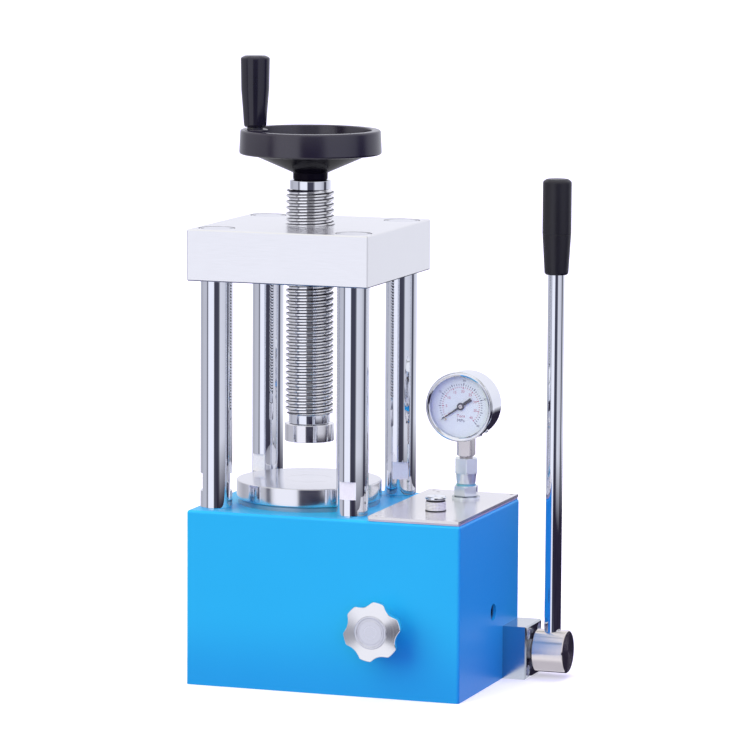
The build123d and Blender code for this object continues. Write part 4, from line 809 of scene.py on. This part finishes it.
def coil():
    """Round wire wound about +Y between the pump body and the plunger head."""
    steps = SPRING_TURNS * TURN_STEPS
    length = SPRING_BACK - SPRING_FRONT
    lead = length / (2 * math.pi * SPRING_TURNS)
    points = []
    for i in range(steps + 1):
        angle = 2 * math.pi * SPRING_TURNS * i / steps
        out = Vector((math.cos(angle), 0, math.sin(angle)))
        run = Vector((-math.sin(angle) * SPRING_R, lead, math.cos(angle) * SPRING_R))
        side = run.normalized().cross(out)
        centre = Vector((SPRING_X, SPRING_FRONT + length * i / steps, SPRING_Z)) + out * SPRING_R
        for j in range(WIRE_STEPS):
            turn = 2 * math.pi * j / WIRE_STEPS
            points.append(tuple(centre + (out * math.cos(turn) + side * math.sin(turn)) * SPRING_WIRE))
    last = steps * WIRE_STEPS
    faces = [tuple(range(WIRE_STEPS)), tuple(range(last, last + WIRE_STEPS))]
    for i in range(steps):
        for j in range(WIRE_STEPS):
            here = i * WIRE_STEPS + j
            beside = i * WIRE_STEPS + (j + 1) % WIRE_STEPS
            faces.append((here, beside, beside + WIRE_STEPS, here + WIRE_STEPS))
    return points, faces


spring = new_piece("plunger_spring_coil", coil(), GROUND, None, ["plunger_spring"], 60)
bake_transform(spring)


# ---------- filler

NECK_R = 9.0
KNURL_DEPTH = 0.22
KNURL_LOW = 11.5          # heights above the foot of the neck
KNURL_HIGH = 17.7


def knurled(radius, height, angle):
    """Diamond knurl on the middle of the filler neck."""
    if radius < NECK_R - 0.05 or not KNURL_LOW < height < KNURL_HIGH:
        return radius
    around = angle * KNURLS
    up = (NECK_FOOT + height) * KNURLS / KNURL_RISE
    return radius - KNURL_DEPTH * (1 - math.sin(around + up) * math.sin(around - up)) / 2


neck_rows = [(NECK_R, 11.6 + 0.25 * step, 0) for step in range(25)]
new_piece("filler_neck_knurled", lathe([
    (5.1, 0, 0), (6.95, 0, 0), (6.95, 10.0, 0), (8.5, 10.0, 0), (8.5, 10.9, 0), (8.9, 11.0, 0),
    (NECK_R, 11.4, 0), *neck_rows, (NECK_R, 17.8, 0), (8.6, 18.2, 0), (5.1, 18.2, 0),
], foot("filler_neck"), shape=knurled, segments=KNURLS * 12),
    KNURL, "frame", ["filler_neck"], 60)
new_piece("filler_foot_ring", lathe([
    (8.4, 10.0, 0), (9.1, 10.0, 0.2), (9.1, 10.8, 0.2), (8.4, 10.8, 0),
], foot("filler_neck")), RUBBER, "frame")

new_piece("filler_cap_turned", lathe([
    (0, 0, 0), (5.0, 0, 0.5), (5.0, 17.4, 0), (8.0, 17.4, 0.3), (9.0, 18.4, 0.5), (9.0, 19.9, 0.5),
    (8.1, 20.8, 0.4), (1.3, 20.65, 0), (0.9, 20.4, 0), (0.9, 18.3, 0), (0, 18.3, 0),
], foot("filler_cap")), CHROME, "filler_cap", ["filler_cap"])


# ---------- gauge fittings

HEX_STEPS = 240
CORNER_START = 1.035      # the corners are turned off to this share of half the flats at the ends


def hexagon(across_flats, turn, low, high, slope):
    """Shape of a hexagon whose corners are turned off towards both ends, at a slope."""
    apothem = across_flats / 2

    def shape(radius, height, angle):
        if radius < apothem * 0.98:
            return radius
        sector = (math.degrees(angle) - turn + 30) % 60 - 30
        flat = apothem / math.cos(math.radians(sector))
        turned_off = apothem * CORNER_START + min(height - low, high - height) * slope
        return min(flat, turned_off)
    return shape


new_piece("gauge_adapter_hex", lathe([
    (3.1, 0, 0), (6.5, 0, 0.6), (6.5, 18.2, 0), (11.0, 18.2, 0), (11.0, 18.7, 0), (11.0, 19.3, 0),
    (11.0, 26.0, 0), (11.0, 26.7, 0), (11.0, 27.3, 0), (11.0, 27.8, 0), (5.0, 27.8, 0), (5.0, 38.8, 0),
    (3.1, 38.8, 0),
], foot("gauge_adapter"), shape=hexagon(19.6, 12, 18.2, 27.8, 1.7), segments=HEX_STEPS),
    ZINC, "frame", ["gauge_adapter"], 20)

new_piece("gauge_union_nut", joined(
    lathe([
        (5.1, 0, 0), (7.7, 0, 0.2), (8.3, 1.0, 0.4), (9.2, 9.2, 0.6), (9.3, 10.0, 0), (5.1, 10.0, 0),
    ], foot("gauge_union")),
    lathe([
        (5.1, 9.8, 0), (11.0, 9.8, 0), (11.0, 10.2, 0), (11.0, 10.8, 0), (11.0, 11.4, 0), (11.0, 21.8, 0),
        (11.0, 22.4, 0), (11.0, 22.8, 0), (11.0, 23.2, 0), (5.1, 23.2, 0),
    ], foot("gauge_union"), shape=hexagon(19.2, 19, 9.8, 23.2, 1.5), segments=HEX_STEPS),
), ZINC, "frame", ["gauge_union"], 20)


STEM_HALF = 6.7           # half of the stem across its flats
STEM_CORNER_R = 8.75
CONE_FOOT = 13.8          # height above the foot of the stem
CONE_R = 6.2
CONE_SLOPE = 2.2


def squared(radius, height, angle):
    """Square stem with broken corners, turned down to a cone at its foot."""
    if radius < 6.4:
        return radius
    sector = (math.degrees(angle) + 45) % 90 - 45
    flat = STEM_HALF / math.cos(math.radians(sector))
    return min(flat, STEM_CORNER_R, CONE_R + max(height - CONE_FOOT, 0) * CONE_SLOPE)


new_piece("gauge_stem_square", lathe([
    (0, 0, 0), (5.0, 0, 0.4), (5.0, 12.3, 0), (5.9, 12.5, 0.2), (5.9, 13.2, 0.2), (5.5, 13.5, 0),
    (5.9, 13.8, 0), (7.0, 13.9, 0), (9.0, 14.3, 0), (9.0, 14.8, 0), (9.0, 15.3, 0), (9.0, 36.4, 0),
    (0, 36.4, 0),
], foot("gauge_stem"), shape=squared, segments=HEX_STEPS),
    NICKEL, "frame", ["gauge_stem"], 22)


# ---------- pressure gauge

DIAL_X, _, DIAL_Z = middle("gauge_bezel")
GAUGE_FRONT = (DIAL_X, extent("gauge_bezel")[0][1], DIAL_Z)     # depths run back from here
PRINT_DEPTH = 6.94        # just in front of the dial's face
ZERO_TURN = 213.0         # degrees from +X, counter-clockwise as the operator sees it
BAR_SWEEP = 6.5           # degrees for each unit of the outer scale
TONNE_SWEEP = 6.48        # degrees for each unit of the inner scale

new_piece("gauge_bezel_ring", lathe([
    (29.6, 8.0, 0), (30.4, 8.0, 0.4), (30.8, 7.3, 0.5), (30.8, 1.9, 1.0), (30.2, 0.3, 1.0), (29.0, 0, 0.9),
    (27.7, 0.6, 0.5), (27.0, 1.2, 0.3), (27.0, 2.2, 0),
], GAUGE_FRONT, "Y"), CHROME, "frame", ["gauge_bezel"], 45)

new_piece("gauge_case_pressing", lathe([
    (27.6, 7.9, 0), (28.0, 5.0, 0), (29.5, 5.0, 0), (29.5, 31.4, 2.6), (27.2, 34.0, 2.6), (0, 34.0, 0),
], GAUGE_FRONT, "Y"), CHROME, "frame", ["gauge_case"], 45)

SCREW_TURNS = (-50, -63)      # degrees from +X, as the operator sees the case
SCREW_DEPTH = 21.0            # behind the front of the bezel


def case_screw(turn):
    """Small domed screw head that stands on the case, facing out along a radius."""
    points, faces = lathe([
        (1.0, 28.6, 0), (1.9, 28.6, 0), (1.9, 30.0, 0.5), (1.2, 30.9, 0.5), (0.5, 31.0, 0), (0.4, 30.6, 0),
        (0, 30.6, 0),
    ], segments=40)
    outward = Vector((math.cos(math.radians(turn)), 0, math.sin(math.radians(turn))))
    middle_of_case = Vector(GAUGE_FRONT) + Vector((0, SCREW_DEPTH, 0))
    stand = Matrix.Translation(middle_of_case) @ outward.to_track_quat("Z", "Y").to_matrix().to_4x4()
    return [tuple(stand @ Vector(point)) for point in points], faces


new_piece("gauge_case_screws", joined(*[case_screw(turn) for turn in SCREW_TURNS]),
          CHROME, "frame")


def dial_point(radius, turn, depth):
    """Point of the gauge at a radius, a turn from +X (counter-clockwise from the front) and a depth."""
    return on_axis(GAUGE_FRONT, "Y", radius, depth, math.radians(turn))


def dial_strip(inner, outer, turn, width):
    """Thin printed line along a radius."""
    half_in = math.degrees(width / 2 / inner)
    half_out = math.degrees(width / 2 / outer)
    ends = ((inner, -half_in), (outer, -half_out), (outer, half_out), (inner, half_in))
    return [dial_point(radius, turn + half, PRINT_DEPTH) for radius, half in ends], [(0, 1, 2, 3)]


def dial_text(words, radius, turn, size):
    """Upright printed words, centred on a point of the dial."""
    curve = bpy.data.curves.new("words", "FONT")
    curve.body = words
    curve.size = size
    curve.align_x = "CENTER"
    curve.align_y = "CENTER"
    curve.resolution_u = 3
    text = bpy.data.objects.new("words", curve)
    mesh = bpy.data.meshes.new_from_object(text)
    x, y, z = dial_point(radius, turn, PRINT_DEPTH)
    points = [(x + v.co.x, y, z + v.co.y) for v in mesh.vertices]
    faces = [tuple(polygon.vertices) for polygon in mesh.polygons]
    bpy.data.objects.remove(text)
    bpy.data.curves.remove(curve)
    bpy.data.meshes.remove(mesh)
    return points, faces


def dial_scale(foot_radius, reaches, sweep):
    """Graduation lines from 0 to 40; reaches are (every so many units, radius), longest line first."""
    lines = []
    for unit in range(41):
        reach = next(radius for every, radius in reaches if unit % every == 0)
        width = 0.50 if unit % 5 else 0.70
        lines.append(dial_strip(*sorted((foot_radius, reach)), ZERO_TURN - unit * sweep, width))
    return lines


def dial_numbers(units, radius, sweep, size):
    return [dial_text(str(unit), radius, ZERO_TURN - unit * sweep, size) for unit in units]


outer_scale = dial_scale(18.4, ((10, 21.0), (5, 20.5), (1, 19.9)), BAR_SWEEP)
outer_scale += dial_numbers(range(10, 50, 10), 22.9, BAR_SWEEP, 2.9)
outer_scale.append(dial_text("MPa", 12.6, 270, 4.0))
new_piece("dial_outer_scale", joined(*outer_scale), PRINT_BLACK, "frame")

inner_scale = dial_scale(17.5, ((5, 15.6), (1, 16.4)), TONNE_SWEEP)
inner_scale += dial_numbers(range(0, 45, 5), 13.4, TONNE_SWEEP, 3.3)
inner_scale.append(dial_text("Tons", 8.6, 270, 3.8))
new_piece("dial_inner_scale", joined(*inner_scale), PRINT_RED, "frame")

POINTER_REST = 215.0      # degrees from +X
POINTER_FRONT = 5.4       # depths of the two faces of the pointer
POINTER_BACK = 6.0


def pointer_plate(outline):
    """Flat plate whose outline is given as (along the pointer, across it)."""
    turn = math.radians(POINTER_REST)
    along = Vector((math.cos(turn), 0, math.sin(turn)))
    across = Vector((-math.sin(turn), 0, math.cos(turn)))
    loops = [
        [Vector(GAUGE_FRONT) + Vector((0, depth, 0)) + along * a + across * c for a, c in outline]
        for depth in (POINTER_FRONT, POINTER_BACK)
    ]
    return joined(wall(*loops), lid(loops[0]), lid(loops[1]))


new_piece("gauge_pointer_hand", joined(
    pointer_plate([(22.2, 0.12), (2.5, 0.95), (2.5, -0.95), (22.2, -0.12)]),
    pointer_plate([(-2.4, 1.25), (-11.6, 1.55), (-11.6, -1.55), (-2.4, -1.25)]),
    lathe([(0, 6.0, 0), (3.3, 6.0, 0), (3.3, 5.3, 0.2), (0, 5.3, 0)], GAUGE_FRONT, "Y", segments=48),
), POINTER, "gauge_pointer", ["gauge_pointer"])
new_piece("gauge_pointer_cap", lathe([
    (1.8, 5.3, 0), (1.8, 5.0, 0.15), (1.0, 4.95, 0.1), (0.7, 5.1, 0), (0, 5.1, 0),
], GAUGE_FRONT, "Y", segments=48), NICKEL, "gauge_pointer")
new_piece("zero_stop_sleeve", lathe([
    (0.95, 7.0, 0), (0.95, 5.1, 0.2), (0, 4.9, 0),
], dial_point(18.7, 220.0, 0), "Y", segments=32), BRASS, "frame")


# ---------- release knob

KNOB_SEAT = (KNOB_X, BASE_FRONT, KNOB_Z)      # heights along +Y, so what stands out is negative
KNOB_R = 26.2
KNOB_STEPS = 360
SCALLOP_REACH = 34.6      # from the knob's axis to the middle of a scallop
SCALLOP_R = 12.1
SCALLOP_TURN = 47         # degrees
SCALLOP_BLEND = 1.2       # softens the corner between a scallop and a lobe
FACE_R = 14.6             # the cone of the front face starts at the centre disc
FACE_OUT = 28.7
FACE_SLOPE = 0.215


def knob_edge(angle):
    """Radius of the knob's outline: six lobes between round scallops."""
    from_scallop = (math.degrees(angle) - SCALLOP_TURN + 30) % 60 - 30
    turn = math.radians(from_scallop)
    inside = SCALLOP_R ** 2 - (SCALLOP_REACH * math.sin(turn)) ** 2
    if inside <= 0:
        return KNOB_R
    cut = SCALLOP_REACH * math.cos(turn) - math.sqrt(inside)
    if cut >= KNOB_R + 3:
        return KNOB_R
    return -SCALLOP_BLEND * math.log(math.exp(-cut / SCALLOP_BLEND) + math.exp(-KNOB_R / SCALLOP_BLEND))


def knob_face(radius):
    """How far the conical front face stands out at a radius."""
    return FACE_OUT - (radius - FACE_R) * FACE_SLOPE


def knob_skin():
    """Hub, lobed rim and conical face, as rows of (radius, how far out) at each angle."""
    hub = [(5.1, 4.6), (10.7, 4.6), (11.0, 4.9), (11.0, 16.5), (14.0, 19.5)]
    points = []
    for j in range(KNOB_STEPS):
        angle = 2 * math.pi * j / KNOB_STEPS
        edge = knob_edge(angle)
        lip = knob_face(edge)
        back = [(edge - 0.7, 19.5), (edge - 0.2, 19.7), (edge, 20.2)]
        front = [(edge, lip - 0.7), (edge - 0.15, lip - 0.25)]
        radii = [FACE_R + (edge - 0.6 - FACE_R) * share for share in (1, 0.75, 0.5, 0.25, 0)]
        rows = hub + back + front + [(radius, knob_face(radius)) for radius in radii]
        points += [on_axis(KNOB_SEAT, "Y", radius, -out, angle) for radius, out in rows]
    return closed_skin(points, KNOB_STEPS)


new_piece("release_knob_centre", lathe([
    (14.6, -28.7, 0), (14.4, -29.5, 0.2), (13.9, -29.95, 0.3), (12.9, -29.95, 0.3), (12.2, -29.3, 0.3),
    (11.2, -29.15, 0.2), (10.6, -29.2, 0), (10.2, -29.5, 0.1), (9.6, -29.55, 0), (0, -29.6, 0),
], KNOB_SEAT, "Y"), KNOB_CENTRE, "release_valve")
new_piece("release_knob_turned", knob_skin(),
          KNOB_METAL, "release_valve", ["release_knob"], 24)


# ---------- studio

CAMERA_SIDE = CAMERA_AZIMUTH - math.pi / 2      # from +X, seen from the press

# Grey of the studio round the press, by degrees from the camera, positive to its right.
STUDIO_BANDS = (
    (-180, 0.95), (-165, 0.78), (-152, 0.66), (-127, 0.44), (-108, 0.56), (-76, 0.58), (-72, 0.50),
    (-70, 0.14), (-64, 0.14), (-61, 0.70), (-54, 0.98), (-18.5, 0.98), (-14.5, 0.07), (-8, 0.055),
    (16, 0.06), (22, 0.30), (28, 0.76), (60, 0.70), (74, 0.56), (82, 0.45), (85, 0.07), (99, 0.07),
    (103, 0.48), (112, 0.66), (142, 0.88), (180, 0.95),
)
LIGHT_FROM_BELOW = (0.23, 0.19, 0.43)
LIGHT_FROM_ABOVE = (0.66, 0.55, 1.18)


def add_world():
    """White backdrop to the camera, banded softboxes to reflections, soft white to diffuse light."""
    world = bpy.data.worlds.new("studio")
    bpy.context.scene.world = world
    world.use_nodes = True
    tree = world.node_tree
    tree.nodes.clear()
    direction = split(tree.nodes.new("ShaderNodeTexCoord").outputs["Generated"])
    height = direction["Z"]
    turn = math_node("ARCTAN2", direction["Y"], direction["X"])
    turn = math_node("DIVIDE", math_node("SUBTRACT", turn, CAMERA_SIDE), 2 * math.pi)
    place = math_node("FRACT", math_node("ADD", turn, 0.5))
    bands = ramp(place, [((angle + 180) / 360, grey) for angle, grey in STUDIO_BANDS])
    cool = mix_colour(1.0, bands, (0.94, 0.955, 1.03), "MULTIPLY")
    deep = mix_colour(1.0, cool, (0.004, 0.004, 0.028), "ADD")
    level = math_node("ADD", times(height, 0.5), 0.5)
    off_level = ramp(level, [(0.26, 0.55), (0.32, 0.0), (0.50, 0.0), (0.58, 0.45)])
    tinted = mix_colour(off_level, deep, (0.95, 0.95, 1.0))
    above = ramp(height, [(0.0, 0.0), (0.50, 0.0), (0.60, 1.0)])
    overhead = ramp(height, [
        (0.60, 0.98), (0.68, 0.98), (0.71, 0.45), (0.78, 0.50), (0.84, 1.0), (1.0, 1.0),
    ])
    ceiling = mix_colour(above, tinted, overhead)
    below = ramp(times(height, -1), [(0.0, 0.0), (0.60, 0.0), (0.80, 1.0)])
    round_view = mix_colour(below, ceiling, (0.60, 0.60, 0.68))
    lit = ramp(level, [(0.40, 0.0), (0.56, 1.0)])
    shade = mix_colour(lit, LIGHT_FROM_BELOW, LIGHT_FROM_ABOVE)
    path = new_node("LightPath", height)
    soft = mix_colour(path.outputs["Is Glossy Ray"], shade, round_view)
    seen = mix_colour(path.outputs["Is Camera Ray"], soft, (1, 1, 1))
    background = new_node("Background", height)
    link(seen, background.inputs["Color"])
    output = new_node("OutputWorld", height)
    link(background.outputs[0], output.inputs["Surface"])


def add_softbox(name, place, target, size, watts, colour=(1, 1, 1)):
    """Area light at a place, in metres, that faces a target and that metals don't mirror."""
    data = bpy.data.lights.new(name, "AREA")
    data.shape = "RECTANGLE"
    data.size, data.size_y = size
    data.energy = watts
    data.color = colour
    lamp = add_object(name, data)
    lamp.location = place
    lamp.visible_glossy = False
    lamp.rotation_euler = (Vector(target) - Vector(place)).to_track_quat("-Z", "Y").to_euler()


def stage_material(name):
    """Empty material of the studio, a place on it and its output's socket."""
    material = bpy.data.materials.new(name)
    material.use_nodes = True
    tree = material.node_tree
    tree.nodes.clear()
    return material, object_place(tree), tree.nodes.new("ShaderNodeOutputMaterial").inputs["Surface"]


def stage_card(name, corners, material):
    """Flat four-cornered piece of the studio, in metres."""
    mesh = bpy.data.meshes.new(name)
    mesh.from_pydata(corners, [], [(0, 1, 2, 3)])
    mesh.materials.append(material)
    card = add_object(name, mesh)
    return card


FLOOR_HALF = 40           # metres
FLOOR_Z = -0.0002         # metres, just under the press
TABLE_Z = -0.0001


def add_floor():
    """Pale sweep, near white by its own glow, that still takes the soft shadow under the press."""
    material, place, surface = stage_material("studio_floor")
    diffuse = new_node("BsdfDiffuse", place)
    pale = mix_colour(noise(place, 3, 2), (0.68, 0.68, 0.69), (0.70, 0.70, 0.71))
    link(pale, diffuse.inputs["Color"])
    glow = new_node("Emission", place)
    distance = math_node("DIVIDE", vector_node("LENGTH", place), 6.0)
    far_off = ramp(distance, [(0.0, 0.0), (0.1, 0.0), (0.6, 1.0)])
    link(spread(far_off, 0.42, 0.85), glow.inputs["Strength"])
    both = new_node("AddShader", place)
    link(diffuse.outputs[0], both.inputs[0])
    link(glow.outputs[0], both.inputs[1])
    link(both.outputs[0], surface)
    signs = ((-1, -1), (1, -1), (1, 1), (-1, 1))
    floor = stage_card("floor", [(x * FLOOR_HALF, y * FLOOR_HALF, 0) for x, y in signs], material)
    floor.location.z = FLOOR_Z
    floor.visible_glossy = False
    floor.visible_diffuse = False


def dark_table(name, low, high, near, far):
    """Dark table top between two corners, in metres, that only reflections see.

    It fades out between two distances from the press.
    """
    material, place, surface = stage_material("studio_" + name)
    glow = new_node("Emission", place)
    dark = ramp(noise(place, 6, 2), [(0.0, (0.010, 0.008, 0.020)), (1.0, (0.040, 0.034, 0.060))])
    link(dark, glow.inputs["Color"])
    clear = new_node("BsdfTransparent", place)
    past_near = math_node("SUBTRACT", vector_node("LENGTH", place), near)
    fade = ramp(math_node("DIVIDE", past_near, far - near), [(0.0, 0.0), (1.0, 1.0)])
    blend = new_node("MixShader", place)
    link(fade, blend.inputs[0])
    link(glow.outputs[0], blend.inputs[1])
    link(clear.outputs[0], blend.inputs[2])
    link(blend.outputs[0], surface)
    rim = ((low[0], low[1]), (high[0], low[1]), (high[0], high[1]), (low[0], high[1]))
    table = stage_card(name, [(x, y, TABLE_Z) for x, y in rim], material)
    table.visible_camera = False
    table.visible_diffuse = False
    table.visible_shadow = False
    table.visible_transmission = False


bpy.context.scene.view_settings.view_transform = "Standard"
add_world()
add_floor()
dark_table("table_behind", (-0.10, 0.11), (1.9, 1.9), 1.1, 1.7)
dark_table("table_beside", (0.35, -1.8), (1.9, 0.11), 1.0, 1.5)
dark_table("table_near", (0.17, 0.06), (0.35, 0.11), 1.0, 1.5)
add_softbox("key_light", (-1.5, -2.3, 1.9), (0, 0, 0.2), (3.2, 3.2), 100, (1.0, 1.0, 0.50))
add_softbox("fill_light", (2.6, -0.6, 1.0), (0, 0, 0.2), (1.4, 1.4), 9, (0.28, 0.33, 0.90))
add_softbox("front_fill", (1.3, -2.6, 0.5), (0.05, 0, 0.1), (1.2, 1.2), 11, (0.20, 0.35, 1.0))
add_softbox("top_light", (0.2, 0.4, 2.6), (0, 0, 0.2), (1.8, 1.8), 40)
